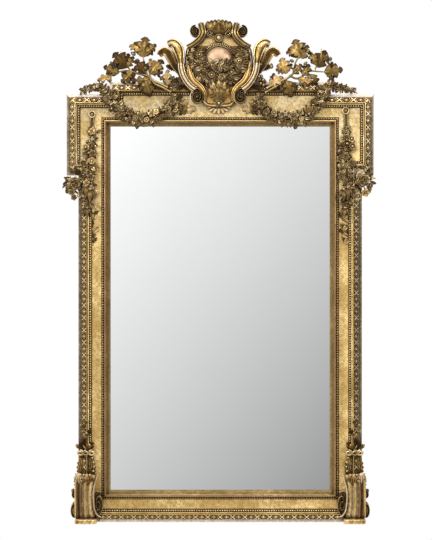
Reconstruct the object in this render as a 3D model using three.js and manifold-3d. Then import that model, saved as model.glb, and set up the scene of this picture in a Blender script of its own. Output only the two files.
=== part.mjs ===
// Ornate gilt wall mirror: eared frame with a raised centre, crest, oak branches,
// flower swags, ear drops and scroll consoles. Millimetres, +Z up.
//
// The mirror is drawn in its own face plane: x to the right, y up from the bottom edge,
// z forward from the wall. At the end the group is stood up, so that the wall is the
// plane Y = 0, the mirror faces -Y, and the origin is the point that it hangs by.

import * as THREE from 'three';
import { mergeVertices } from 'three/addons/utils/BufferGeometryUtils.js';
import Module from 'manifold-3d';

const wasm = await Module();
wasm.setup();
const { Manifold } = wasm;

// Driving dimensions of the frame
const sightWidth = 788;
const sightHeight = 1306;
const railWidth = 115;
const earWiden = 42;
const earHeight = 290;
const raiseHalfWidth = 397;
const raiseHeight = 44;
const friezeDepth = 30;
const rebateInset = 105;
const lozengePitch = 45;
const lozengeRelief = 3.5;

// Driving dimensions of the glass, the backboard and the hanging point
const glassThickness = 5;
const boardThickness = 10;
const rebateSlack = 1;
const hangHeight = 1496;
const gap = 0.3;

// Driving dimensions of the crest
const crestTop = 1800;
const crestX = -5;
const plateBack = 6;
const plateFront = 60;
const boss = { y: 1667, radius: 47, rise: 24 };
const medallionY = 1734;
const capFoot = 1746;
const capHalf = 50;
const capDepth = 68;
const upperEye = { x: 86, y: 1757, radius: 17 };
const lowerEye = { x: 78, y: 1520, radius: 26 };
const shell = { y: 1499, reach: 38, back: 26, front: 44 };
const leafFanY = 1500;

// Driving dimensions of the left console; the right one is its mirror image
const bracket = { left: -516, right: -442, foot: 20, top: 172, front: 78, back: 4, ribs: 4 };
const footBlock = { front: 86, lip: 3 };
const collar = { x: -470, y: 251, halfWidth: 29, halfHeight: 11, front: 60 };
const lumps = [
  { x: -519, y: 150, radius: 16, stretch: 1 },
  { x: -521, y: 104, radius: 15, stretch: 1.3 },
  { x: -520, y: 48, radius: 17, stretch: 2 },
];
const lumpDepth = 34;

// Heights and half-widths that follow from the frame's dimensions
const halfWidth = sightWidth / 2 + railWidth;
const earHalfWidth = halfWidth + earWiden;
const sightTop = railWidth + sightHeight;
const frameTop = sightTop + railWidth;
const raiseTop = frameTop + raiseHeight;
const earFoot = frameTop - earHeight;

// Moulding sections as [distance in from the frame's outer line, height off the wall]
const bandOuter = [13, 42];
const bandInner = [31, 49.5];
const outerSection = [
  [0, 0], [0, 22], [8, 24], [9, 31], bandOuter, bandInner,
  [34, 44], [40, 40], [43.5, 42], [47, 38], [48, 0],
];
const innerSection = [
  [83, 0], [85, 35], [89, 37], [93, 34], [94, 40], [98, 42],
  [102, 38], [106, 28], [111, 22], [115, 19], [115, 16], [105, 16], [105, 0],
];

// The plain wrappings of the same sections, for trimming what sits on them
const outerWrapping = [
  [0, 0], [0, 24], [bandOuter[0], bandOuter[1] + lozengeRelief],
  [bandInner[0], bandInner[1] + lozengeRelief], [48, 42], [50, 0],
];
const innerWrapping = [[82, 0], [83, 36], [98, 42], [103, 38], [115, 19], [115, 0]];

// Basic tools: closed solids, turning and placing

const point = ([x, y]) => new THREE.Vector2(x, y);
const degrees = THREE.MathUtils.degToRad;
const spot = (p) => new THREE.Vector3(...p);
const curveThrough = (points) => new THREE.CatmullRomCurve3(points.map(spot));
const wave = (k, rate) => Math.sin(k * rate + rate);

function signedVolume(positions, index) {
  const [a, b, c] = [0, 1, 2].map(() => new THREE.Vector3());
  let total = 0;
  for (let i = 0; i < index.length; i += 3) {
    a.fromArray(positions, index[i] * 3);
    b.fromArray(positions, index[i + 1] * 3);
    c.fromArray(positions, index[i + 2] * 3);
    total += a.dot(b.cross(c)) / 6;
  }
  return total;
}

function solid(geometry) {
  const bare = geometry.clone();
  bare.deleteAttribute('normal');
  bare.deleteAttribute('uv');
  const merged = mergeVertices(bare);
  const vertProperties = merged.attributes.position.array;
  const triVerts = Uint32Array.from(merged.index.array);
  if (signedVolume(vertProperties, triVerts) < 0) {
    triVerts.reverse();
  }
  return new Manifold(new wasm.Mesh({ numProp: 3, vertProperties, triVerts }));
}

function joined(solids) {
  return Manifold.union(solids);
}

// The offcuts that a trim leaves are dropped, the body of the carving is kept
function mainBody(carving) {
  const bodies = carving.decompose();
  bodies.sort((a, b) => b.volume() - a.volume());
  return bodies[0];
}

function placed(geometry, x, y, z, turn = 0) {
  const matrix = new THREE.Matrix4().makeRotationZ(turn);
  matrix.setPosition(x, y, z);
  return solid(geometry.applyMatrix4(matrix));
}

function mirrored(carving) {
  return carving.mirror([1, 0, 0]);
}

// A closed line of corners moved inwards, each corner along its mitre
function inset(corners, distance) {
  return corners.map((corner, i) => {
    const before = corners[(i + corners.length - 1) % corners.length];
    const after = corners[(i + 1) % corners.length];
    const into = corner.clone().sub(before).normalize();
    const outOf = after.clone().sub(corner).normalize();
    const inwards = new THREE.Vector2(-into.y - outOf.y, into.x + outOf.x);
    return inwards.multiplyScalar(distance / (1 + into.dot(outOf))).add(corner);
  });
}

// A moulding run round a closed line with mitred corners: a lathe ring, one station for
// each corner, with every station moved to its corner
function mouldedRing(corners, section) {
  const closed = [...section, section[0]];
  const ring = new THREE.LatheGeometry(closed.map(point), corners.length);
  const position = ring.attributes.position;
  closed.forEach(([inwards, height], j) => {
    const line = inset(corners, inwards);
    for (let i = 0; i <= corners.length; i += 1) {
      const corner = line[i % corners.length];
      position.setXYZ(i * closed.length + j, corner.x, corner.y, height);
    }
  });
  return solid(ring);
}

function grownSection(section, distance) {
  const clockwise = section.map(point).reverse();
  return inset(clockwise, -distance).reverse().map((p) => [p.x, p.y]);
}

function plate(shape, back, front) {
  const depth = front - back;
  const geometry = new THREE.ExtrudeGeometry(shape, { depth, bevelEnabled: false });
  return solid(geometry.translate(0, 0, back));
}

function cornered(corners) {
  return new THREE.Shape(corners);
}

function block(left, right, bottom, top, back, front) {
  const box = new THREE.BoxGeometry(right - left, top - bottom, front - back);
  return solid(box.translate((left + right) / 2, (bottom + top) / 2, (back + front) / 2));
}

// A bar bent along a curve, thinned and swelled by the functions across and deep
function bentBar(curve, steps, across, deep = across, sides = 4) {
  const bar = new THREE.CylinderGeometry(1, 1, 1, sides, steps);
  const position = bar.attributes.position;
  const forward = new THREE.Vector3(0, 0, 1);
  for (let i = 0; i < position.count; i += 1) {
    const t = position.getY(i) + 0.5;
    const along = curve.getTangentAt(t);
    const side = new THREE.Vector3().crossVectors(along, forward).normalize();
    const rise = new THREE.Vector3().crossVectors(side, along);
    const place = curve.getPointAt(t);
    place.addScaledVector(side, position.getX(i) * across(t));
    place.addScaledVector(rise, position.getZ(i) * deep(t));
    position.setXYZ(i, place.x, place.y, place.z);
  }
  return solid(bar);
}

const even = (size) => () => size;
const taper = (start, end) => (t) => start + (end - start) * t;
const swell = (base, extra, at, spread) => (t) => base + extra * Math.exp(-(((t - at) / spread) ** 2));

// A rope of massed flowers: it bulges at each flower and is nipped between them
function floweredRope(curve, lumps, size, flatness = 0.7) {
  const bulge = (t) => 0.82 - 0.18 * Math.cos(2 * Math.PI * lumps * t);
  return bentBar(curve, lumps * 2, (t) => size(t) * bulge(t), (t) => size(t) * bulge(t) * flatness);
}

// Points round a volute's eye, from one angle and radius to another
function spiral(eye, fromAngle, toAngle, fromRadius, toRadius, depth, count) {
  return Array.from({ length: count }, (_, k) => {
    const t = k / (count - 1);
    const angle = degrees(fromAngle + (toAngle - fromAngle) * t);
    const radius = fromRadius + (toRadius - fromRadius) * t;
    return [eye.x + radius * Math.cos(angle), eye.y + radius * Math.sin(angle), depth];
  });
}

// Carved units, each facing forward and centred on its place

function drum(x, y, radius, back, front, sides = 10, stretch = 1) {
  const disc = new THREE.CylinderGeometry(radius * 0.88, radius, front - back, sides);
  disc.rotateX(Math.PI / 2).scale(1, stretch, 1);
  return placed(disc, x, y, (back + front) / 2);
}

function blossom(x, y, z, radius, turn) {
  const petals = 4;
  const cup = new THREE.ConeGeometry(radius, radius * 0.9, petals * 2);
  const position = cup.attributes.position;
  for (let i = 0; i < position.count; i += 1) {
    const station = Math.round((Math.atan2(position.getX(i), position.getZ(i)) * petals) / Math.PI);
    const pull = Math.abs(station % 2) === 1 ? 0.68 : 1;
    position.setXYZ(i, position.getX(i) * pull, position.getY(i), position.getZ(i) * pull);
  }
  return placed(cup.rotateX(Math.PI / 2), x, y, z, turn);
}

function rose(x, y, z, radius) {
  const section = [[0, -0.4], [0.8, -0.35], [1, 0], [0.6, 0.6], [0.35, 0.4], [0, 0.6]];
  const bloom = new THREE.LatheGeometry(section.map(point), 6);
  return placed(bloom.rotateX(Math.PI / 2).scale(radius, radius, radius), x, y, z);
}

function bud(x, y, z, radius, stretch = 1) {
  const round = new THREE.IcosahedronGeometry(radius, 0);
  return placed(round.scale(1, stretch, 1), x, y, z);
}

function berry(x, y, z, radius, stretch = 1) {
  const round = new THREE.OctahedronGeometry(radius, 0);
  return placed(round.rotateZ(Math.PI / 4).scale(1, stretch, 1), x, y, z);
}

// A plain leaf with a ridge, from its stalk end towards a heading
function blade(x, y, z, heading, length, width, thickness = 9) {
  const leaf = new THREE.OctahedronGeometry(0.5).scale(width, length, thickness);
  leaf.translate(0, length / 2, 0);
  return placed(leaf, x, y, z, degrees(heading - 90));
}

// An oak leaf, humped in its middle, with a rim that swings between lobe and notch
function oakLeaf(x, y, z, heading, length, width) {
  const thickness = 10;
  const corners = 12;
  const section = [[0, -thickness / 2], [1, 0], [0, thickness / 2]];
  const leaf = new THREE.LatheGeometry(section.map(point), corners).rotateX(Math.PI / 2);
  for (let k = 0; k <= corners; k += 1) {
    const t = 1 - Math.abs(1 - (2 * k) / corners);
    const side = k < corners / 2 ? 1 : -1;
    const reach = (k % 2 === 1 ? 1 : 0.5) * Math.sin(Math.PI * t ** 0.8);
    leaf.attributes.position.setXY(k * section.length + 1, side * (width / 2) * reach, length * (t - 0.5));
  }
  return placed(leaf.translate(0, length / 2, 0), x, y, z, degrees(heading - 90));
}

// Open flowers and leaves laid along a strand, to one side and the other by turns
function strungFlowers(strand, { count, radius, aside, from = 0, to = 1, leafLength = 0 }) {
  const units = [];
  for (let k = 0; k < count; k += 1) {
    const t = from + ((to - from) * (k + 0.5)) / count;
    const place = strand.getPointAt(t);
    const along = strand.getTangentAt(t);
    const shift = k % 2 === 0 ? aside : -aside;
    const size = radius * (1 + 0.15 * wave(k, 1.7));
    units.push(blossom(place.x - along.y * shift, place.y + along.x * shift, place.z + 4, size, k));
    if (leafLength > 0) {
      const course = THREE.MathUtils.radToDeg(Math.atan2(along.y, along.x));
      const heading = course + (k % 2 === 0 ? -70 : 65) + 15 * wave(k, 3.1);
      units.push(blade(place.x, place.y, place.z, heading, leafLength, radius * 0.9, 10));
    }
  }
  return units;
}

// Frame

const outline = [
  [-halfWidth, 0], [halfWidth, 0],
  [halfWidth, earFoot], [earHalfWidth, earFoot], [earHalfWidth, frameTop],
  [raiseHalfWidth, frameTop], [raiseHalfWidth, raiseTop],
  [-raiseHalfWidth, raiseTop], [-raiseHalfWidth, frameTop],
  [-earHalfWidth, frameTop], [-earHalfWidth, earFoot], [-halfWidth, earFoot],
].map(point);

const sightLine = [
  [-halfWidth, 0], [halfWidth, 0], [halfWidth, frameTop], [-halfWidth, frameTop],
].map(point);

function frameBody(outerProfile, innerProfile, face) {
  const frieze = cornered(inset(outline, 40));
  frieze.holes.push(cornered(inset(sightLine, 95)));
  return joined([
    mouldedRing(outline, outerProfile),
    mouldedRing(sightLine, innerProfile),
    plate(frieze, 0, face),
  ]);
}

// Lozenges of the ribbon band, pressed on its sloping face along each side
function lozenges() {
  const middle = (bandOuter[0] + bandInner[0]) / 2;
  const height = (bandOuter[1] + bandInner[1]) / 2;
  const slope = Math.atan2(bandInner[1] - bandOuter[1], bandInner[0] - bandOuter[0]);
  const line = inset(outline, middle);
  const sunk = 1;
  return line.flatMap((start, i) => {
    const end = line[(i + 1) % line.length];
    const run = end.clone().sub(start);
    const count = Math.round(run.length() / lozengePitch);
    const along = new THREE.Vector3(run.x, run.y, 0).normalize();
    const inwards = new THREE.Vector3(-along.y, along.x, 0);
    const outwards = new THREE.Vector3(0, 0, Math.cos(slope)).addScaledVector(inwards, -Math.sin(slope));
    const across = new THREE.Vector3().crossVectors(along, outwards);
    return Array.from({ length: count }, (_, k) => {
      const centre = start.clone().addScaledVector(run, (k + 0.5) / count);
      const basis = new THREE.Matrix4().makeBasis(along, outwards, across);
      basis.setPosition(centre.x, centre.y, height);
      const stud = new THREE.ConeGeometry(1, lozengeRelief + sunk, 4);
      stud.translate(0, (lozengeRelief - sunk) / 2, 0).scale(15, 1, 8);
      return solid(stud.applyMatrix4(basis));
    });
  });
}

// The space that the frame takes up, with a clearance all round, for trimming what sits on it
const frameSpace = frameBody(
  grownSection(outerWrapping, gap),
  grownSection(innerWrapping, gap),
  friezeDepth + gap,
);

function seatedOnFrame(carving) {
  return mainBody(carving.subtract(frameSpace));
}

const frame = joined([frameBody(outerSection, innerSection, friezeDepth), ...lozenges()]);

// Glass and backboard, one behind the other in the rebate
const rebateHalf = halfWidth - rebateInset - rebateSlack;
const rebateLow = rebateInset + rebateSlack;
const rebateHigh = frameTop - rebateInset - rebateSlack;
const boardBack = gap + 0.1;
const glassBack = boardBack + boardThickness + gap;

function pane(back, thickness) {
  return block(-rebateHalf, rebateHalf, rebateLow, rebateHigh, back, back + thickness);
}

const backboard = pane(boardBack, boardThickness);
const mirrorGlass = pane(glassBack, glassThickness);

// Crest cartouche

function crestPlate() {
  const side = [
    [20, 1484], [44, 1488], [64, 1506], [96, 1530], [112, 1572], [126, 1620], [122, 1682],
    [96, 1704], [72, 1736], [50, 1760],
  ];
  const otherSide = side.map(([x, y]) => [-x, y]).reverse();
  return plate(cornered([...side, ...otherSide].map(point)), plateBack, plateFront);
}

function crestCap() {
  const lobes = 5;
  const spring = crestTop - 18;
  const taperIn = 6;
  const notch = 3.5;
  const shape = new THREE.Shape();
  shape.moveTo(taperIn - capHalf, capFoot);
  for (let k = 0; k <= lobes * 2; k += 1) {
    const x = -capHalf + (capHalf * k) / lobes;
    const crown = (crestTop - spring) * Math.sqrt(1 - (x / (capHalf * 1.04)) ** 2);
    shape.lineTo(x, spring + crown - (k % 2 === 0 ? notch : 0));
  }
  shape.lineTo(capHalf - taperIn, capFoot);
  const fan = Array.from({ length: lobes }, (_, k) => {
    const heading = 90 + (k - (lobes - 1) / 2) * 27;
    return blade(0, capFoot + 4, capDepth, heading, 42, 15, 12);
  });
  const curls = [-31, 31].map((x) => drum(x, capFoot, 10, plateFront - 10, plateFront + 14, 6));
  return [plate(shape, 20, capDepth), ...fan, ...curls];
}

function crestBoss() {
  const rings = 2;
  const section = Array.from({ length: rings + 1 }, (_, k) => {
    const angle = (Math.PI / 2) * (k / rings);
    return [boss.radius * Math.cos(angle), boss.rise * Math.sin(angle)];
  });
  const dome = [[0, -2], [boss.radius, -2], ...section.slice(0, -1), [0, boss.rise]];
  const sides = 12;
  const turned = new THREE.LatheGeometry(dome.map(point), sides).rotateX(Math.PI / 2);
  return placed(turned, 0, boss.y, plateFront);
}

function medallion() {
  const section = [[0, -4], [14, -2], [12, 6], [0, 7]];
  const button = new THREE.LatheGeometry(section.map(point), 8).rotateX(Math.PI / 2);
  return placed(button, 0, medallionY, plateFront);
}

// One side of the cartouche: upper scroll, long C-scroll with its horn, outer horn and fruit
function crestSide() {
  const upper = curveThrough([
    [97, 1704, 54], [76, 1730, 58], ...spiral(upperEye, 200, -170, 29, 11, 60, 12),
  ]);
  const main = curveThrough([
    [184, 1722, 50], [164, 1727, 54], [142, 1704, 56], [129, 1668, 58], [125, 1632, 60],
    [116, 1596, 60], [102, 1566, 62], ...spiral(lowerEye, 85, 430, 27, 10, 64, 12),
  ]);
  const outer = curveThrough([
    [212, 1688, 36], [198, 1698, 42], [180, 1686, 46], [166, 1655, 46], [146, 1628, 44],
    [118, 1606, 40],
  ]);
  return [
    bentBar(upper, 8, taper(9, 5), taper(13, 9)),
    drum(upperEye.x, upperEye.y, upperEye.radius, 36, 56, 8),
    bentBar(main, 12, swell(8, 8, 0.13, 0.1), taper(12, 11)),
    drum(lowerEye.x, lowerEye.y, lowerEye.radius, 34, 60, 8),
    bentBar(outer, 5, swell(8, 6, 0.3, 0.25), taper(10, 12)),
    blade(82, 1500, 46, -33, 50, 16, 16),
    blade(118, 1624, 46, -70, 62, 20, 16),
    berry(134, 1598, 48, 12),
    berry(130, 1572, 48, 12),
  ];
}

// The shell under the cartouche: a fan of round lobes, lying on the frieze
function palmette() {
  const lobes = 7;
  const shape = new THREE.Shape();
  shape.moveTo(0, shell.y + 13);
  for (let k = 0; k <= lobes * 2; k += 1) {
    const angle = degrees(180 + (180 * k) / (lobes * 2));
    const radius = k % 2 === 0 ? shell.reach * 0.86 : shell.reach;
    shape.lineTo(radius * Math.cos(angle), shell.y + radius * Math.sin(angle));
  }
  return plate(shape, shell.back, shell.front);
}

function fans() {
  const leaves = Array.from({ length: 5 }, (_, k) => {
    const lean = k - 2;
    return blade(lean * 7, leafFanY, plateFront, 90 - lean * 17, 62 - 4 * Math.abs(lean), 15, 16);
  });
  return [...leaves, palmette(), bud(0, leafFanY + 3, plateFront + 6, 10)];
}

const rightSide = crestSide();
const cartouche = seatedOnFrame(joined([
  crestPlate(),
  ...crestCap(),
  crestBoss(),
  medallion(),
  ...rightSide,
  ...rightSide.map(mirrored),
  ...fans(),
]).translate([crestX, 0, 0]));

// Wreath of flowers laid on the cartouche round its boss
function wreath() {
  const strand = curveThrough([
    [-88, 1682, 66], [-84, 1652, 66], [-66, 1612, 66], [-34, 1584, 66],
    [0, 1576, 66], [34, 1584, 66], [66, 1612, 66], [84, 1652, 66], [88, 1682, 66],
  ]);
  const inner = curveThrough([
    [-52, 1612, 66], [-28, 1600, 66], [0, 1597, 66], [28, 1600, 66], [52, 1612, 66],
  ]);
  const flowers = joined([
    floweredRope(strand, 7, even(21), 0.7),
    floweredRope(inner, 2, even(20), 0.7),
    ...strungFlowers(strand, { count: 4, radius: 15, aside: 11 }),
  ]);
  const bossSpace = drum(0, boss.y, boss.radius + 2, 50, 90, 12);
  const laid = flowers.subtract(bossSpace).trimByPlane([0, 0, 1], plateFront + gap);
  return mainBody(laid).translate([crestX, 0, 0]);
}

// Oak branches on the raised centre: a stem, twigs and leaves given as
// [stalk x, stalk y, depth, heading, length, width]
const branchLeft = {
  stem: [
    [-188, 1556, 62], [-212, 1568, 62], [-240, 1583, 56], [-262, 1606, 46], [-270, 1640, 42],
    [-277, 1676, 42],
  ],
  twigs: [
    [[-258, 1598, 50], [-290, 1606, 44], [-330, 1618, 40], [-372, 1612, 38], [-396, 1596, 36]],
    [[-318, 1616, 42], [-334, 1636, 40], [-352, 1658, 40], [-356, 1688, 38]],
  ],
  leaves: [
    [-279, 1666, 44, 80, 84, 72], [-285, 1690, 44, 140, 50, 34],
    [-330, 1630, 42, 134, 82, 66], [-362, 1610, 40, 160, 68, 44], [-388, 1598, 38, 190, 60, 34],
    [-250, 1604, 48, 56, 72, 54], [-266, 1604, 46, 124, 68, 46], [-312, 1616, 42, 226, 64, 42],
    [-256, 1597, 57, 282, 72, 50], [-190, 1562, 58, 92, 62, 30], [-250, 1586, 50, 186, 66, 26],
  ],
  buds: [[-304, 1675, 42, 9], [-262, 1622, 46, 9]],
};

const branchRight = {
  stem: [
    [166, 1553, 62], [206, 1574, 62], [240, 1590, 56], [262, 1610, 46], [264, 1644, 42],
    [284, 1672, 42],
  ],
  twigs: [
    [[250, 1598, 52], [278, 1590, 44], [318, 1616, 40], [350, 1616, 38], [378, 1614, 36]],
    [[338, 1618, 40], [346, 1640, 40], [360, 1662, 40]],
  ],
  leaves: [
    [286, 1662, 44, 108, 78, 68], [284, 1676, 44, 150, 50, 32], [347, 1630, 42, 66, 76, 58],
    [345, 1640, 42, 112, 54, 34], [372, 1614, 38, 6, 74, 52], [237, 1606, 50, 112, 64, 50],
    [296, 1600, 46, 66, 52, 36], [174, 1562, 58, 36, 64, 44], [239, 1589, 57, 286, 70, 50],
    [330, 1614, 40, 300, 48, 30], [278, 1589, 45, -6, 62, 26],
  ],
  buds: [[183, 1626, 48, 9], [212, 1617, 48, 9]],
};

const smallLeafWidth = 35;

function oakBranch({ stem, twigs, leaves, buds }) {
  const fruit = buds.map(([x, y, z, radius]) => berry(x, y, z, radius, 1.4));
  const root = curveThrough(stem).getPointAt(0.45).toArray();
  const stalks = buds.map(([x, y, z]) => {
    const middle = [(root[0] + x) / 2, (root[1] + y) / 2 - 3, z];
    return bentBar(curveThrough([root, middle, [x, y, z]]), 1, even(3));
  });
  return seatedOnFrame(joined([
    bentBar(curveThrough(stem), 6, taper(9, 6)),
    ...twigs.map((twig) => bentBar(curveThrough(twig), 4, taper(6, 4.5))),
    ...leaves.map((leaf) => (leaf[5] < smallLeafWidth ? blade(...leaf) : oakLeaf(...leaf))),
    ...fruit,
    ...stalks,
  ]));
}

// Flower swags, from beside the lower volutes down over the frieze and up round the step
const swagLeft = {
  strand: [
    [-160, 1530, 62], [-182, 1508, 50], [-206, 1486, 44], [-240, 1466, 44], [-275, 1459, 46],
    [-326, 1470, 44], [-369, 1490, 50], [-397, 1520, 60], [-412, 1546, 56], [-446, 1558, 36],
    [-500, 1546, 24],
  ],
  nosegay: [[-166, 1518, 50], [-154, 1498, 44], [-162, 1478, 42], [-196, 1478, 44]],
  drips: [[-300, 1419], [-241, 1424]],
};
const swagRight = {
  strand: [
    [136, 1536, 62], [148, 1510, 50], [166, 1480, 44], [203, 1464, 44], [262, 1459, 46],
    [317, 1477, 44], [350, 1508, 52], [366, 1540, 60], [385, 1560, 56], [420, 1556, 36],
    [485, 1546, 24],
  ],
  nosegay: [[140, 1524, 52], [131, 1500, 44], [144, 1478, 42], [180, 1468, 44]],
  drips: [[271, 1419], [239, 1428]],
};

function flowerSwag({ strand, nosegay, drips }) {
  const rope = curveThrough(strand);
  const hanging = drips.flatMap(([x, y]) => [
    bentBar(curveThrough([[x, y + 45, 46], [x, y + 20, 46], [x, y, 34]]), 2, even(5)),
    berry(x, y, 32, 10, 1.2),
  ]);
  return seatedOnFrame(joined([
    floweredRope(rope, 8, swell(8, 22, 0.34, 0.28), 0.55),
    ...strungFlowers(rope, { count: 3, radius: 19, aside: 12, from: 0.1, to: 0.7, leafLength: 44 }),
    floweredRope(curveThrough(nosegay), 2, even(18), 0.6),
    ...hanging,
  ]));
}

// Ear drops: a rosette and strap, a bouquet on a spine, a rose over the ear's foot with
// buds round it, and a tail of husks
const dropLeft = {
  rosette: [-459, 1463],
  spine: [
    [-460, 1410, 40], [-461, 1350, 40], [-476, 1296, 48], [-470, 1244, 54],
    [-462, 1190, 52], [-462, 1112, 50], [-460, 1050, 42], [-455, 992, 40],
  ],
  rose: [-520, 1214],
  spray: [[-520, 1214, 54], [-545, 1200, 44], [-536, 1172, 44], [-522, 1152, 46], [-498, 1174, 54]],
};
const dropRight = {
  rosette: [450, 1476],
  spine: [
    [451, 1424, 40], [455, 1356, 40], [452, 1304, 44], [454, 1250, 50],
    [462, 1196, 54], [452, 1130, 46], [452, 1064, 42], [443, 1006, 40],
  ],
  rose: [508, 1226],
  spray: [[508, 1226, 54], [542, 1216, 44], [538, 1186, 44], [522, 1160, 46], [500, 1168, 54]],
};

function flowerDrop({ rosette, spine, rose: bloom, spray }) {
  const [x, y] = rosette;
  const rope = curveThrough(spine);
  const elbow = [(spine[3][0] + bloom[0]) / 2, bloom[1] + 14, 58];
  const arm = curveThrough([rope.getPointAt(0.4).toArray(), elbow, spray[0]]);
  const sprig = curveThrough(spray);
  const husks = Array.from({ length: 3 }, (_, k) => {
    const place = rope.getPointAt(0.74 + 0.09 * k);
    return blade(place.x, place.y, place.z, -90 + 24 * (k % 2 ? 1 : -1), 34, 15, 12);
  });
  return seatedOnFrame(joined([
    drum(x, y, 13, 24, 42, 6),
    berry(x, y, 43, 8),
    block(x - 7, x + 7, spine[0][1] - 10, y, 24, 40),
    floweredRope(rope, 6, swell(8, 18, 0.36, 0.24), 0.6),
    bentBar(arm, 2, even(8)),
    floweredRope(sprig, 2, even(11), 0.9),
    rose(...bloom, 56, 23),
    ...strungFlowers(rope, { count: 3, radius: 17, aside: 10, from: 0.1, to: 0.66, leafLength: 38 }),
    ...husks,
  ]));
}

// Scroll consoles at the foot of each side, drawn for the left
function flutedBracket() {
  const ribWidth = (bracket.right - bracket.left) / bracket.ribs;
  const valley = 10;
  const fluted = new THREE.Shape();
  fluted.moveTo(bracket.left, -bracket.back);
  for (let k = 0; k < bracket.ribs; k += 1) {
    const x = bracket.left + ribWidth * k;
    fluted.lineTo(x, valley - bracket.front);
    fluted.lineTo(x + ribWidth * 0.25, -bracket.front);
    fluted.lineTo(x + ribWidth * 0.75, -bracket.front);
  }
  fluted.lineTo(bracket.right, valley - bracket.front);
  fluted.lineTo(bracket.right, -bracket.back);
  const depth = bracket.top - bracket.foot;
  const body = new THREE.ExtrudeGeometry(fluted, { depth, bevelEnabled: false }).rotateX(-Math.PI / 2);
  const middle = (bracket.left + bracket.right) / 2;
  const roll = new THREE.CylinderGeometry(11, 11, ribWidth * (bracket.ribs - 0.2), 6).rotateZ(Math.PI / 2);
  return [placed(body, 0, bracket.foot, 0), placed(roll, middle, bracket.top + 4, bracket.front - 10)];
}

function consoleFoliage() {
  const acanthus = Array.from({ length: 3 }, (_, k) => {
    const lean = k - 1;
    const length = 92 - 10 * Math.abs(lean);
    return blade(collar.x - 6 + lean * 12, collar.y + 7, 62, -90 + lean * 12, length, 26, 26);
  });
  const vine = curveThrough([[-474, 262, 58], [-494, 292, 56], [-474, 320, 58], [-486, 356, 56]]);
  const leaves = Array.from({ length: 3 }, (_, k) => {
    const place = vine.getPointAt(0.3 + 0.3 * k);
    return blade(place.x, place.y, place.z, 90 + 50 * (k % 2 ? 1 : -1), 32, 14, 12);
  });
  return [...acanthus, bentBar(vine, 5, taper(8, 4)), ...leaves];
}

function scrollConsole() {
  const { x, y, halfWidth, halfHeight } = collar;
  const sideways = [[-16, 70], [16, 68]];
  return seatedOnFrame(joined([
    ...flutedBracket(),
    block(bracket.left - 1, bracket.right + footBlock.lip, 0, bracket.foot, bracket.back, footBlock.front),
    drum(-438, 75, 14, 20, 72, 6, 3.2),
    ...lumps.map((lump) => bud(lump.x, lump.y, lumpDepth, lump.radius, lump.stretch)),
    block(x - halfWidth, x + halfWidth, y - halfHeight, y + halfHeight, bracket.back, collar.front),
    ...sideways.map(([aside, front]) => drum(x + aside, y, 13, front - 30, front, 5)),
    ...consoleFoliage(),
  ]));
}

// Finishes

function finish(name, color, roughness, metalness) {
  return new THREE.MeshStandardMaterial({ name, color, roughness, metalness });
}

const paleGilt = finish('pale_gilt', 0xc9a973, 0.5, 0.6);
const antiqueGilt = finish('antique_gilt', 0x9a7d50, 0.5, 0.6);
const warmGilt = finish('warm_gilt', 0xb6925f, 0.45, 0.65);
const silvering = finish('silvering', 0xe4e6e8, 0.04, 1);
const pine = finish('pine', 0x9a7b52, 0.85, 0);

function meshOf(name, carving, material) {
  const { vertProperties, triVerts } = carving.getMesh();
  const geometry = new THREE.BufferGeometry();
  geometry.setAttribute('position', new THREE.BufferAttribute(vertProperties, 3));
  geometry.setIndex(new THREE.BufferAttribute(triVerts, 1));
  geometry.computeVertexNormals();
  const mesh = new THREE.Mesh(geometry, material);
  mesh.name = name;
  return mesh;
}

const leftConsole = scrollConsole();

const mirror = new THREE.Group();
mirror.name = 'ornate_gilt_mirror';
mirror.rotation.x = Math.PI / 2;
mirror.position.z = -hangHeight;
mirror.add(
  meshOf('frame', frame, paleGilt),
  meshOf('mirror_glass', mirrorGlass, silvering),
  meshOf('backboard', backboard, pine),
  meshOf('crest_cartouche', cartouche, warmGilt),
  meshOf('crest_garland', wreath(), antiqueGilt),
  meshOf('oak_branch_left', oakBranch(branchLeft), antiqueGilt),
  meshOf('oak_branch_right', oakBranch(branchRight), antiqueGilt),
  meshOf('flower_swag_left', flowerSwag(swagLeft), antiqueGilt),
  meshOf('flower_swag_right', flowerSwag(swagRight), antiqueGilt),
  meshOf('flower_drop_left', flowerDrop(dropLeft), antiqueGilt),
  meshOf('flower_drop_right', flowerDrop(dropRight), antiqueGilt),
  meshOf('scroll_console_left', leftConsole, warmGilt),
  meshOf('scroll_console_right', mirrored(leftConsole), warmGilt),
);

export default mirror;
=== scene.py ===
# Ornate gilt wall mirror: carved frame, crest, oak sprays, rose swags, side drops and foot consoles
import bmesh
import bpy
import math
import random
from mathutils import Matrix, Vector


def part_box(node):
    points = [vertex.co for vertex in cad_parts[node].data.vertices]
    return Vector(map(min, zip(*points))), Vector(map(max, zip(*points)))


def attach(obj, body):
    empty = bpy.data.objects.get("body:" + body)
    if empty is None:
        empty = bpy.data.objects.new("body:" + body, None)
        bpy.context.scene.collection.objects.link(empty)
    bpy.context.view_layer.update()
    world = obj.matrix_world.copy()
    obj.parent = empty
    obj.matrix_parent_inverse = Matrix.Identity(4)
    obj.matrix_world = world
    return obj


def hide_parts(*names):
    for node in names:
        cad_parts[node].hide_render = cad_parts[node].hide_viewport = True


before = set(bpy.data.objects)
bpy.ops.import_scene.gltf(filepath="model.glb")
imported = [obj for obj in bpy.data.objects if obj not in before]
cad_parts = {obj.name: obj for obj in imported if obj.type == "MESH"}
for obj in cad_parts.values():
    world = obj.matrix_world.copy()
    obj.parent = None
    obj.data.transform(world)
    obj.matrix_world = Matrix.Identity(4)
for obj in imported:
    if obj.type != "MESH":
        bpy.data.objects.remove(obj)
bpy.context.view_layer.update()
print("frame loaded:", len(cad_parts), "nodes")

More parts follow.
